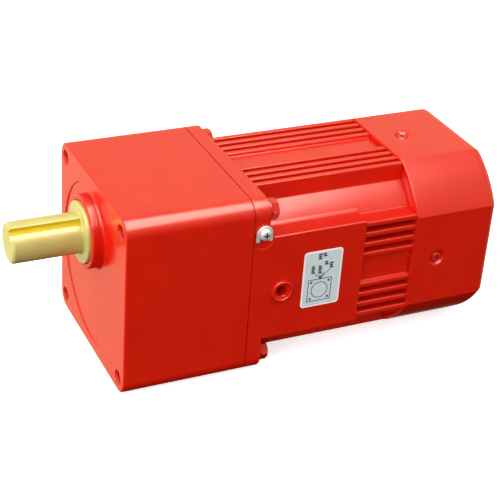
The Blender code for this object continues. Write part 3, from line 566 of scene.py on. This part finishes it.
def add(
    name, mesh, slot, replaces=(), body="stationary_body", at=(0.0, 0.0, 0.0), look=None, bevel=0.0
):
    """Places a finished mesh in the layout as a piece that rides on a body.

    look names the piece's material where that isn't its slot's.
    """
    piece = bpy.data.objects.new(name, mesh)
    mesh.name = name
    bpy.context.scene.collection.objects.link(piece)
    piece.location = LAYOUT + Vector(at) * MM
    mesh.materials.clear()
    mesh.materials.append(MATERIALS[look or slot])
    mesh.shade_smooth()
    mesh.set_sharp_from_angle(angle=SHARP_ANGLE)
    if bevel:
        edges = piece.modifiers.new("edges", "BEVEL")
        edges.width = bevel * MM
        edges.segments = 2
        edges.limit_method = "ANGLE"
        edges.angle_limit = SHARP_ANGLE
        edges.use_clamp_overlap = True
    normals = piece.modifiers.new("flat_faces", "WEIGHTED_NORMAL")
    normals.keep_sharp = True
    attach(piece, body)
    if replaces:
        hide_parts(*replaces)
    return piece


# Gear head -----------------------------------------------------------------------------------
def tapped_hole():
    """Cutter for an M8 tapped hole: thread grooves and a countersunk mouth."""
    crest, groove, depth, turns = 3.45, 3.9, 25.0, 14
    mouth = 0.7
    profile = [(-OVERRUN, 4.6), (0.0, 4.45), (mouth, groove)]
    for turn in range(turns):
        start = mouth + turn * THREAD_PITCH
        profile += [(start + THREAD_PITCH / 2, crest), (start + THREAD_PITCH, groove)]
    profile.append((depth, crest))
    return turned(profile, 28)


def gear_head_block():
    """Square block with rounded front edges and a small chamfer at the joint face."""
    edge = 1.1
    rings = rounding((0.0, edge), (edge, 0.0), 6)
    rings += [(GEARBOX_BACK - 0.4, 0.0), (GEARBOX_BACK - 0.12, 0.12), (GEARBOX_BACK, 0.4)]
    return ring_stack([(x, square_outline(inset)) for x, inset in rings])


def face_recess():
    """Cutter for the shallow round recess in the mounting face, with a soft lip."""
    lip = 0.35
    profile = [(-OVERRUN, RECESS_RADIUS + lip), (0.0, RECESS_RADIUS + lip)]
    profile += [(0.1, RECESS_RADIUS + 0.12), (lip, RECESS_RADIUS)]
    profile += [(RECESS_DEPTH - 0.2, RECESS_RADIUS - 0.03)]
    profile += [(RECESS_DEPTH - 0.05, RECESS_RADIUS - 0.12), (RECESS_DEPTH, RECESS_RADIUS - 0.35)]
    return turned(profile, 128)


def boss():
    """Boss round the output shaft, with a rounded rim and a fillet at its foot."""
    rim, fillet, steps = 1.1, 1.6, 6
    foot = RECESS_DEPTH + 0.02
    profile = rounding((BOSS_FRONT, BOSS_RADIUS - rim), (BOSS_FRONT + rim, BOSS_RADIUS), steps)
    for index in range(steps + 1):
        angle = pi / 2 * index / steps
        x = foot - fillet + fillet * sin(angle)
        profile.append((x, BOSS_RADIUS + fillet * (1 - cos(angle))))
    profile.append((5.0, BOSS_RADIUS + fillet))
    return turned(profile, 96)


def build_gear_head():
    output = (0, 0, OUTPUT_Z)
    mesh = cut(gear_head_block(), face_recess())
    mesh = weld(mesh, moved(boss(), output))
    start, floor = BOSS_FRONT - OVERRUN, BOSS_FRONT + 0.3
    groove = [(start, 18.15), (start, 18.5), (floor, 18.42), (floor, 18.23)]
    mesh = cut(mesh, moved(turned_ring(groove, 96), output))
    seat_x, seat_radius = PLATE_SEAT
    past_back = GEARBOX_END + OVERRUN
    cavity = [(7.0, GEAR_CAVITY_RADIUS), (seat_x, GEAR_CAVITY_RADIUS), (seat_x, seat_radius)]
    mesh = cut(mesh, turned(cavity + [(past_back, seat_radius)], 64))
    hub_start, hub_end = 5.0, 14.0
    mesh = weld(mesh, moved(turned([(hub_start, 22.5), (hub_end, 22.5)]), output))
    for joint in ("first_countershaft_spin", "second_countershaft_spin"):
        place = (JOINT_AT[joint] - LAYOUT) / MM
        centre = (0, place.y, place.z)
        mesh = weld(mesh, moved(turned([(hub_start, 8.5), (hub_end, 8.5)], 32), centre))
        mesh = cut(mesh, moved(turned([(8.0, 5.9), (hub_end + OVERRUN, 5.9)], 32), centre))
    mouth = COLLAR_RADIUS + 0.35
    seats = [(start, mouth + 0.4), (BOSS_FRONT, mouth + 0.3), (floor, mouth)]
    seats += [(COLLAR_BACK, mouth), (COLLAR_BACK, SEAL_SEAT_RADIUS), (SEAL_BACK, SEAL_SEAT_RADIUS)]
    seats += [(SEAL_BACK, 18.9), (hub_end + OVERRUN, 18.9)]
    mesh = cut(mesh, moved(turned(seats, 96), output))
    mesh = cut(mesh, at_corners(tapped_hole, CORNER_HOLE))
    bolt_hole = [(46.0, BOLT_CLEARANCE_RADIUS), (past_back, BOLT_CLEARANCE_RADIUS)]
    mesh = cut(mesh, at_corners(lambda: turned(bolt_hole, 24), CORNER_HOLE))
    add("gear_head_casting", mesh, "red_paint", replaces=["gearbox_housing"])


def shaft_profile():
    """Shaft end with its chamfer, the collar, and the turned-down seats behind it."""
    chamfer, root, steps = 1.0, 1.0, 5
    rim = 0.5
    tip = SHAFT_RADIUS - chamfer
    profile = [(SHAFT_TIP, tip - 0.15), (SHAFT_TIP + 0.1, tip)]
    profile += [(SHAFT_TIP + chamfer, SHAFT_RADIUS - 0.1)]
    profile += [(SHAFT_TIP + chamfer + 0.25, SHAFT_RADIUS)]
    for index in range(steps + 1):
        angle = pi / 2 * index / steps
        x = COLLAR_FRONT - root + root * sin(angle)
        profile.append((x, SHAFT_RADIUS + root * (1 - cos(angle))))
    profile += rounding((COLLAR_FRONT, COLLAR_RADIUS - rim), (COLLAR_FRONT + rim, COLLAR_RADIUS))
    profile += [(COLLAR_BACK, COLLAR_RADIUS), (COLLAR_BACK, 11.0), (SEAL_BACK, 11.0)]
    groove_start, groove_end, groove_radius, shoulder = 40.4, 42.0, 8.7, 42.8
    profile += [(SEAL_BACK, SHAFT_SEAT_RADIUS), (groove_start, SHAFT_SEAT_RADIUS)]
    profile += [(groove_start, groove_radius), (groove_end, groove_radius)]
    profile += [(groove_end, SHAFT_SEAT_RADIUS), (shoulder, SHAFT_SEAT_RADIUS)]
    return profile + [(shoulder, REAR_JOURNAL_RADIUS), (69.2, REAR_JOURNAL_RADIUS)]


def build_output_shaft():
    mesh = turned(shaft_profile(), 128)
    flare = 0.3
    opening = 3.0
    level = sqrt(SHAFT_RADIUS ** 2 - KEYWAY_HALF ** 2)
    rim, outside = level - flare, 20.0
    corner = 0.3
    side = [(KEYWAY_HALF - corner, KEYWAY_FLOOR), (KEYWAY_HALF, KEYWAY_FLOOR + corner)]
    side.append((KEYWAY_HALF, rim))
    side += [(KEYWAY_HALF + opening, rim + opening), (KEYWAY_HALF + opening, outside)]
    section = side + [(-y, z) for y, z in reversed(side)] + [(KEYWAY_PAINT_EDGE, KEYWAY_FLOOR)]
    keyway = prism(section, SHAFT_TIP - OVERRUN, COLLAR_FRONT - 0.4)
    mesh = cut(mesh, moved(keyway, rotation=(KEYWAY_TILT, 0, 0)))
    gear_key_seat = prism([(-3.3, 6.4), (3.3, 6.4), (3.3, outside), (-3.3, outside)], 25.4, 38.6)
    mesh = cut(mesh, gear_key_seat)
    shaft = add(
        "output_shaft_turned", mesh, "oiled_shaft_steel",
        replaces=["output_shaft"], body="output", at=(0, 0, OUTPUT_Z),
    )
    paint_keyway_light(shaft, rim)


def paint_keyway_light(shaft, rim):
    """Gives the keyway's upper wall and half its floor the painted-light yellow that offsets their shade."""
    shaft.data.materials.append(MATERIALS["keyway_painted_light"])
    upright = Matrix.Rotation(-KEYWAY_TILT, 3, "X")
    for face in shaft.data.polygons:
        middle = upright @ face.center / MM
        beside = KEYWAY_PAINT_EDGE < middle.y < KEYWAY_HALF + 0.02
        between = KEYWAY_FLOOR - 0.1 < middle.z < rim + 0.1
        if beside and between and SHAFT_TIP < middle.x < COLLAR_FRONT:
            face.material_index = 1


# Motor ---------------------------------------------------------------------------------------
def build_motor_frame():
    start = GEARBOX_END + GAP / 2
    rings = [(start, 0.4), (start + 0.12, 0.12), (start + 0.4, 0.0)]
    rings += [(FLANGE_END - 0.6, 0.0), (FLANGE_END - 0.18, 0.18), (FLANGE_END, 0.6)]
    flange = ring_stack([(x, square_outline(inset)) for x, inset in rings])
    body = weld(prism(frame_outline(), 75.0, BODY_END), prism(pad_outline(), 74.0, PAD_END))
    mesh = weld(flange, body)
    mesh = cut(mesh, turned([(80.5, STATOR_BORE), (BODY_END + OVERRUN, STATOR_BORE)], 96))
    mesh = weld(mesh, turned([(76.0, 21.5), (88.0, 21.5)]))
    seats = [(69.0, 13.3), (75.3, 13.3), (75.3, 10.0), (75.8, 10.0)]
    seats += [(75.8, SEAL_SEAT_RADIUS), (90.0, SEAL_SEAT_RADIUS)]
    mesh = cut(mesh, turned(seats))
    bolt_hole = [(69.0, BOLT_CLEARANCE_RADIUS), (80.0, BOLT_CLEARANCE_RADIUS)]
    mesh = cut(mesh, at_corners(lambda: turned(bolt_hole, 24), CORNER_HOLE))
    depth, radius = END_SCREW_HOLE
    screw_hole = [(depth, radius), (BODY_END + OVERRUN, radius)]
    mesh = cut(mesh, at_corners(lambda: turned(screw_hole, 24), END_SCREW_DISTANCE))
    cable_hole = turned([(40.0, CABLE_HOLE_RADIUS), (56.0, CABLE_HOLE_RADIUS)], 48)
    mesh = cut(mesh, moved(cable_hole, (CABLE[0], 0, CABLE[1]), OUT_OF_LABEL_SIDE))
    pocket = [(HALF - 0.8, 5.8), (HALF - 0.65, 6.1), (HALF - 0.25, 6.2), (HALF - 0.08, 6.28)]
    pocket += [(HALF, 6.5), (HALF + OVERRUN, 6.6)]
    centre = (GROUND[0], 0, GROUND[1] - SPOT_FACE_DROP)
    mesh = cut(mesh, moved(turned(pocket, 48), centre, OUT_OF_LABEL_SIDE))
    tapping = turned([(43.0, TAPPED_HOLE_RADIUS), (53.0, TAPPED_HOLE_RADIUS)], 24)
    mesh = cut(mesh, moved(tapping, (GROUND[0], 0, GROUND[1]), OUT_OF_LABEL_SIDE))
    add("motor_frame_casting", mesh, "red_paint", replaces=["motor_frame"])


def build_cable_exit():
    """Raised ring with a shallow step around the cable's bore."""
    inside, foot, neck = 44.5, HALF + 0.06, 4.6
    profile = [(inside, CABLE_BORE_RADIUS), (inside, neck), (foot, neck), (foot, CABLE_RING_RADIUS)]
    profile += [(HALF + 1.1, 6.36), (HALF + 1.45, 6.22), (HALF + 1.65, 5.95), (HALF + 1.7, 5.5)]
    profile += [(HALF + 1.65, 5.15), (HALF + 1.45, 4.9), (HALF + 0.7, 4.75), (HALF + 0.52, 4.5)]
    profile += [(HALF + 0.5, 3.7), (HALF + 0.42, 3.4), (HALF + 0.2, 3.25)]
    profile += [(HALF - 0.3, CABLE_BORE_RADIUS)]
    mesh = moved(turned_ring(profile, 72), (CABLE[0], 0, CABLE[1]), OUT_OF_LABEL_SIDE)
    add("cable_exit_ring", mesh, "red_paint", replaces=["cable_grommet"])


def recess_bar(top, reach, depth, upright):
    """Cutter for one bar of a cross recess that narrows inward, along +X."""
    rings = []
    for x, share in zip((top - depth, top + OVERRUN), RECESS_TAPER):
        half_y, half_z = RECESS_ARM * reach * share, reach * share
        if not upright:
            half_y, half_z = half_z, half_y
        outline = [(half_y, half_z), (-half_y, half_z), (-half_y, -half_z), (half_y, -half_z)]
        rings.append((x, outline))
    return ring_stack(rings)


def pan_head(seat, radius, height, shank, depth):
    """Screw with a rounded rim, a nearly flat top with a cross recess, and a plain shank."""
    edge = 0.12
    profile = [(depth, shank), (seat, shank), (seat, radius - 0.1), (seat + edge, radius)]
    for index in range(1, 6):
        angle = radians(15) * index
        rise = (height - edge) * sin(angle) * SHOULDER_SHARE
        profile.append((seat + edge + rise, radius - RIM_SHARE * radius * (1 - cos(angle))))
    profile.append((seat + height, 0.25 * radius))
    mesh = turned(profile, 48)
    for upright in (False, True):
        reach, recess = RECESS_REACH * radius, RECESS_DEPTH_SHARE * height
        mesh = cut(mesh, recess_bar(seat + height, reach, recess, upright))
    return mesh


def add_screw(name, head, place, slot, replaced):
    """Pan-head screw with painted shade in its recess, a dark material on the recess faces; head is pan_head's
    sizes and place is moved's.
    """
    screw = add(name, moved(pan_head(*head), *place), slot, replaces=[replaced])
    # Painted shade: the faces inside the cross recess get the dark material.
    screw.data.materials.append(MATERIALS["recess_painted_shade"])
    into_screw = placement(*place).inverted()
    seat, radius = head[:2]
    for face in screw.data.polygons:
        middle = into_screw @ face.center / MM
        outward = (into_screw.to_3x3() @ face.normal).x
        in_recess = middle.x > seat + 0.1 and middle.yz.length < RECESS_REACH * radius
        if in_recess and outward < 0.8:
            face.material_index = 1


def build_earth_terminal():
    """Fork lug under a cross-recess screw."""
    level = HALF + GAP
    ring, leg, fork, drop, thickness = 4.6, 2.7, 3.6, 4.6, 0.8
    outline = arc(ring, 0.0, pi, 36)
    outline += [(-ring, -drop), (-leg, -drop), (-leg, -fork)]
    outline += arc(leg, pi, 0.0, 12, (0.0, -fork))[1:-1]
    outline += [(leg, -fork), (leg, -drop), (ring, -drop)]
    lug = prism(softened(outline, 0.7), level, level + thickness)
    lug = cut(lug, turned([(level - OVERRUN, 2.3), (level + 2 * OVERRUN, 2.3)], 32))
    place = (GROUND[0], 0, GROUND[1])
    lug = moved(lug, place, OUT_OF_LABEL_SIDE)
    add("earth_lug", lug, "zinc_plate", replaces=["ground_lug"], bevel=0.15)
    head = (level + thickness + GAP, 3.2, 2.0, 1.6, HALF - 8.0)
    add_screw("earth_screw", head, (place, OUT_OF_LABEL_SIDE), "zinc_plate", "ground_screw")


# Wiring label --------------------------------------------------------------------------------
def label_point(across, up):
    """Place on the label, from 0 to 1 along its width and its height."""
    x = LABEL_X[0] + (LABEL_X[1] - LABEL_X[0]) * across
    z = LABEL_Z[0] + (LABEL_Z[1] - LABEL_Z[0]) * up
    return Vector((x, z))


LABEL_FACE = HALF + GAP + 0.2
INK_LEVEL = (LABEL_FACE, LABEL_FACE + 0.03)
TERMINAL_SQUARE = [(0.16, 0.10), (0.76, 0.10), (0.76, 0.49), (0.16, 0.49)]
LEAD_ENDS = [(0.30, 0.60), (0.41, 0.585), (0.48, 0.60), (0.56, 0.60), (0.70, 0.65)]
# (across, up, number of tags)
TAG_STACKS = [
    (0.21, 0.62, 4), (0.39, 0.61, 4), (0.55, 0.745, 2),
    (0.68, 0.68, 3), (0.37, 0.86, 3), (0.49, 0.90, 2),
]


def ink_shape(points):
    """Printed shape from (x, z) points on the label, as a very thin plate."""
    bm = bmesh.new()
    loops = []
    for level in INK_LEVEL:
        loops.append([bm.verts.new((x * MM, -level * MM, z * MM)) for x, z in points])
    count = len(points)
    for index in range(count):
        following = (index + 1) % count
        bm.faces.new([loops[0][index], loops[0][following], loops[1][following], loops[1][index]])
    bm.faces.new(list(reversed(loops[0])))
    bm.faces.new(loops[1])
    return finish_mesh(bm, "ink")


def ink_line(start, end, width):
    along = (end - start).normalized()
    aside = Vector((-along.y, along.x)) * width / 2
    return ink_shape([start - aside, end - aside, end + aside, start + aside])


def ink_ring(centre, radius, width, steps=48):
    inner, outer = radius - width / 2, radius + width / 2
    low, high = INK_LEVEL
    ring = turned_ring([(low, inner), (low, outer), (high, outer), (high, inner)], steps)
    return moved(ring, (centre.x, 0, centre.y), OUT_OF_LABEL_SIDE)


def build_label():
    half_x = (LABEL_X[1] - LABEL_X[0]) / 2
    half_z = (LABEL_Z[1] - LABEL_Z[0]) / 2
    middle = (LABEL_X[0] + half_x, 0, LABEL_Z[0] + half_z)
    level = HALF + GAP
    bevel, margin_face = 0.05, level + 0.17
    edge = rounded_rectangle(half_x, half_z, 2.0, 8)
    top = rounded_rectangle(half_x - bevel, half_z - bevel, 2.0 - bevel, 8)
    margin = ring_stack([(level, edge), (level + 0.12, edge), (margin_face, top)])
    margin = moved(margin, middle, OUT_OF_LABEL_SIDE)
    add("label_margin", margin, "label_film", look="label_border")
    field = rounded_rectangle(half_x - LABEL_MARGIN, half_z - LABEL_MARGIN, 1.4, 8)
    film = moved(prism(field, margin_face, LABEL_FACE), middle, OUT_OF_LABEL_SIDE)
    add("label_field", film, "label_film", replaces=["wiring_label"])
    add("label_diagram", joined(wiring_diagram()), "label_film", look="label_ink")


def wiring_diagram():
    """A square of four terminals round a ring, and leads that end near stacks of short tags."""
    outline_width, lead_width, tag_height, tag_pitch = 0.42, 0.36, 0.95, 1.25
    marks = []
    square = [label_point(across, up) for across, up in TERMINAL_SQUARE]
    for index, corner in enumerate(square):
        marks.append(ink_line(corner, square[(index + 1) % 4], outline_width))
    centre = (square[0] + square[2]) / 2
    marks.append(ink_ring(centre, 4.8, outline_width))
    for corner in square:
        marks.append(ink_ring(corner.lerp(centre, 0.24), 0.4, 0.6, 16))
    hub = label_point(0.46, 0.50)
    marks.append(ink_ring(hub, 0.35, 0.5, 16))
    for across, up in LEAD_ENDS:
        marks.append(ink_line(hub, label_point(across, up), lead_width))
    for across, up, count in TAG_STACKS:
        for index in range(count):
            start = label_point(across, up) + Vector((0, index * tag_pitch))
            length = 2.2 - 0.5 * (index % 2)
            marks.append(ink_line(start, start + Vector((length, 0)), tag_height))
    return marks


# Fan cover -----------------------------------------------------------------------------------
def dimple_cutter():
    """Pressed dimple: a soft funnel that ends in the screw's hole."""
    wall = HALF - COVER_WALL
    profile = [(wall - OVERRUN, 2.0), (wall + 0.45, 2.0), (wall + 0.5, 3.3), (wall + 0.75, 3.6)]
    profile += [(wall + 1.3, 3.85), (wall + 1.75, 4.15), (wall + 2.05, 4.6), (wall + 2.2, 5.2)]
    profile += [(wall + 2.27, 5.9), (HALF + 0.02, 6.6), (HALF + OVERRUN, 6.7)]
    return turned(profile, 56)


def stadium(half_width, low, high, steps=8):
    top = arc(half_width, 0.0, pi, steps, (0.0, high - half_width))
    bottom = arc(half_width, pi, 2 * pi, steps, (0.0, low + half_width))
    return top + bottom


def grille_cutters():
    """Air slots with round ends inside a circle, with a rib across the middle."""
    cutters = []
    start, end = COVER_END - COVER_WALL - OVERRUN, COVER_END + OVERRUN
    for column in range(-4, 5):
        y = column * GRILLE_PITCH
        height = sqrt(GRILLE_RADIUS ** 2 - y * y)
        for low, high in [(GRILLE_RIB_HALF, height), (-height, -GRILLE_RIB_HALF)]:
            slot = stadium(GRILLE_SLOT_HALF, low, high)
            cutters.append(moved(prism(slot, start, end), (0, y, 0)))
    return joined(cutters)


def cover_bend(depth, steps):
    """Sections (x, inset, crease) round the rear edge, at a depth into the wall."""
    radius = COVER_REAR_RADIUS - depth
    sections = []
    for index in range(steps + 1):
        angle = pi / 2 * index / steps
        x = COVER_END - COVER_REAR_RADIUS + radius * sin(angle)
        inset = depth + radius * (1 - cos(angle))
        sections.append((x, inset, COVER_CREASE + COVER_CREASE_GROWTH * (1 - cos(angle))))
    return sections


def build_fan_cover():
    outer = [(0.0, 0.4), (0.12, 0.12), (0.4, 0.0)]
    outer = [(COVER_START + x, inset, COVER_CREASE) for x, inset in outer] + cover_bend(0.0, 10)
    inner = [(COVER_START, COVER_WALL, COVER_CREASE)] + cover_bend(COVER_WALL, 8)
    sections = inner[::-1] + outer
    mesh = ring_stack([(x, cover_outline(inset, crease)) for x, inset, crease in sections])
    dimples = []
    for quarter in range(4):
        dimples.append(moved(dimple_cutter(), (COVER_SCREW_X, 0, 0), turned_out(quarter)))
    mesh = cut(mesh, joined(dimples))
    mesh = cut(mesh, grille_cutters())
    add("fan_cover_shell", mesh, "red_paint", replaces=["fan_cover"])


# Fasteners -----------------------------------------------------------------------------------
def build_cover_screws():
    wall = HALF - COVER_WALL
    for quarter in range(4):
        head = (wall + 0.55, 3.0, 1.15, 1.7, wall - 6.2)
        place = ((COVER_SCREW_X, 0, 0), turned_out(quarter))
        number = quarter + 1
        add_screw(f"cover_screw_head_{number}", head, place, "red_paint", f"cover_screw_{number}")


def hexagon_bolt(seat, height):
    """Hexagon head whose corners are turned down at the top, on a plain shank."""
    hexagon = prism(circle(5.77, 6), seat, seat + height)
    turning = [(seat - OVERRUN, 5.4), (seat, 5.5), (seat + 0.3, 6.2)]
    turning += [(seat + height - 0.9, 6.2), (seat + height, 4.9)]
    head = combine(hexagon, turned(turning, 72), "INTERSECT")
    return weld(head, turned([(50.0, 3.0), (seat + OVERRUN, 3.0)], 24))


def spring_washer(start, end):
    """Ring of square section with a slanting split."""
    bore, rim, edge = 3.4, 5.9, 0.2
    profile = [(start + edge, bore), (start, bore + edge), (start, rim - edge), (start + edge, rim)]
    profile += [(end - edge, rim), (end, rim - edge), (end, bore + edge), (end - edge, bore)]
    near, far, half_gap = -3.0, -7.0, 0.35
    outline = [(far, -half_gap), (near, -half_gap), (near, half_gap), (far, half_gap)]
    split = prism(outline, start - 3, end + 3)
    slant = Matrix.Rotation(radians(-25), 4, "Y")
    there, back = Vector((start * MM, 0, 0)), Vector((-start * MM, 0, 0))
    split.transform(Matrix.Translation(there) @ slant @ Matrix.Translation(back))
    return cut(turned_ring(profile, 72), split)


def build_flange_bolts():
    washer_start = FLANGE_END + GAP
    washer_end = washer_start + 1.6
    for number, (y, z) in enumerate(corners(CORNER_HOLE), 1):
        pieces = [("spring_washer", spring_washer(washer_start, washer_end), "flange_washer")]
        pieces.append(("hexagon_bolt", hexagon_bolt(washer_end + GAP, 4.0), "flange_bolt"))
        for name, mesh, node in pieces:
            replaced = [f"{node}_{number}"]
            add(f"{name}_{number}", mesh, "red_paint", replaces=replaced, at=(0, y, z))


# Studio --------------------------------------------------------------------------------------
HIGHLIGHT_TINT = (1.0, 0.96, 0.82)
ROOM_TINT = (1.0, 0.95, 0.62, 1.0)


def build_camera():
    """Camera at azimuth -26.6 and elevation 30 degrees, with a slight roll."""
    azimuth, elevation, roll = radians(-26.56), radians(29.96), radians(4.25)
    back = Vector((sin(azimuth) * cos(elevation), -cos(azimuth) * cos(elevation), sin(elevation)))
    camera = bpy.data.objects.new("camera", bpy.data.cameras.new("camera"))
    bpy.context.scene.collection.objects.link(camera)
    camera.location = LAYOUT + Vector((-214.75, -617.55, 390.72)) * MM
    camera.rotation_mode = "QUATERNION"
    camera.rotation_quaternion = back.to_track_quat("Z", "Y") @ Quaternion((0, 0, 1), roll)
    camera.data.lens = 101.85
    camera.data.clip_start = 0.01
    bpy.context.scene.camera = camera


def build_floor():
    """Pale floor with a faint glow, so that only a light contact shadow is left."""
    bm = bmesh.new()
    bmesh.ops.create_grid(bm, x_segments=2, y_segments=2, size=6.0)
    floor = bpy.data.objects.new("floor", finish_mesh(bm, "floor"))
    bpy.context.scene.collection.objects.link(floor)
    floor.location.z = -0.0004
    shader = Shader("floor")
    shader.finish([(0.90, 0.90, 0.90), (0.93, 0.93, 0.93)], (0.8, 0.9), 0.0, 1.0)
    shader.set(Emission_Color=(1.0, 1.0, 1.0, 1.0), Emission_Strength=0.62)
    floor.data.materials.append(shader.material)
    floor.visible_glossy = False
    floor.visible_diffuse = False


def softbox(name, place, target, diameter, radiance, glossy):
    """Round light of a given radiance that aims at a layout point; place and target are in metres.

    A light is seen either by glossy rays, as a warm highlight, or by diffuse rays, as shading.
    """
    light = bpy.data.lights.new(name, "AREA")
    light.shape = "DISK"
    light.size = diameter
    light.energy = radiance * pi * pi * (diameter / 2) ** 2
    light.color = HIGHLIGHT_TINT if glossy else (1.0, 1.0, 1.0)
    holder = bpy.data.objects.new(name, light)
    bpy.context.scene.collection.objects.link(holder)
    holder.location = LAYOUT + Vector(place)
    holder.rotation_mode = "QUATERNION"
    holder.rotation_quaternion = (Vector(place) - Vector(target)).to_track_quat("Z", "Y")
    holder.visible_camera = False
    holder.visible_glossy = glossy
    holder.visible_diffuse = not glossy


def world_node(kind, inputs, **settings):
    """Adds a node to the world; each input takes a value or another node's output."""
    tree = bpy.context.scene.world.node_tree
    node = tree.nodes.new(kind)
    for name, value in settings.items():
        setattr(node, name, value)
    for name, value in inputs.items():
        if isinstance(value, bpy.types.NodeSocket):
            tree.links.new(value, node.inputs[name])
        else:
            node.inputs[name].default_value = value
    return node


def world_value(operation, *inputs):
    """Output of a math node."""
    node = world_node("ShaderNodeMath", dict(enumerate(inputs)), operation=operation)
    return node.outputs["Value"]


def build_world():
    """Room that is dim below the horizon on the label side, and dimmer straight down.

    The camera sees it white. Diffuse rays see it brighter, and glossy rays see it warmer.
    """
    world = bpy.data.worlds.new("studio")
    bpy.context.scene.world = world
    world.use_nodes = True
    world.cycles.sampling_method = "NONE"
    coordinates = world_node("ShaderNodeTexCoord", {})
    split = world_node("ShaderNodeSeparateXYZ", {"Vector": coordinates.outputs["Generated"]})
    up, away = split.outputs["Z"], split.outputs["Y"]
    slope = world_value("MULTIPLY_ADD", up, 1.6, away)
    side = {"Value": slope, "From Min": -1.3, "From Max": 0.4, "To Min": 0.06, "To Max": 0.90}
    dimming = world_node("ShaderNodeMapRange", side, interpolation_type="SMOOTHSTEP")
    under = {"Value": up, "From Min": -0.78, "From Max": -0.58, "To Min": 0.08}
    depth = world_node("ShaderNodeMapRange", under, interpolation_type="SMOOTHSTEP")
    room = world_value("MULTIPLY", dimming.outputs["Result"], depth.outputs["Result"])
    path = world_node("ShaderNodeLightPath", {})
    rays = {"Value": path.outputs["Is Diffuse Ray"], "To Min": 1.0, "To Max": 1.45}
    shading = world_node("ShaderNodeMapRange", rays)
    filled = world_value("MULTIPLY", room, shading.outputs["Result"])
    strength = world_value("MAXIMUM", filled, path.outputs["Is Camera Ray"])
    tones = {"Factor": path.outputs["Is Glossy Ray"], "A": (1.0, 1.0, 1.0, 1.0), "B": ROOM_TINT}
    tint = world_node("ShaderNodeMix", tones, data_type="RGBA")
    tree = world.node_tree
    background = tree.nodes["Background"]
    tree.links.new(strength, background.inputs["Strength"])
    tree.links.new(tint.outputs["Result"], background.inputs["Color"])


def build_studio():
    build_floor()
    build_world()
    softbox("overhead_softbox", (0.0, -0.22, 0.70), (0.05, -0.05, 0.05), 1.0, 11.0, True)
    softbox("key_softbox", (-1.15, -0.90, 0.35), (0.09, 0.0, 0.0), 1.1, 3.2, False)
    softbox("front_softbox", (-1.40, 0.10, 0.20), (0.0, 0.0, 0.0), 1.0, 5.3, False)
    softbox("low_fill", (0.90, -1.30, -0.03), (0.10, 0.0, -0.02), 0.6, 2.6, False)
    softbox("top_softbox", (0.50, -0.55, 1.30), (0.10, 0.0, 0.0), 1.0, 1.2, False)
    bpy.context.scene.view_settings.view_transform = "Standard"


build_camera()
dress_cad_nodes()
build_gear_head()
build_output_shaft()
build_motor_frame()
build_cable_exit()
build_earth_terminal()
build_label()
build_fan_cover()
build_cover_screws()
build_flange_bolts()
build_studio()
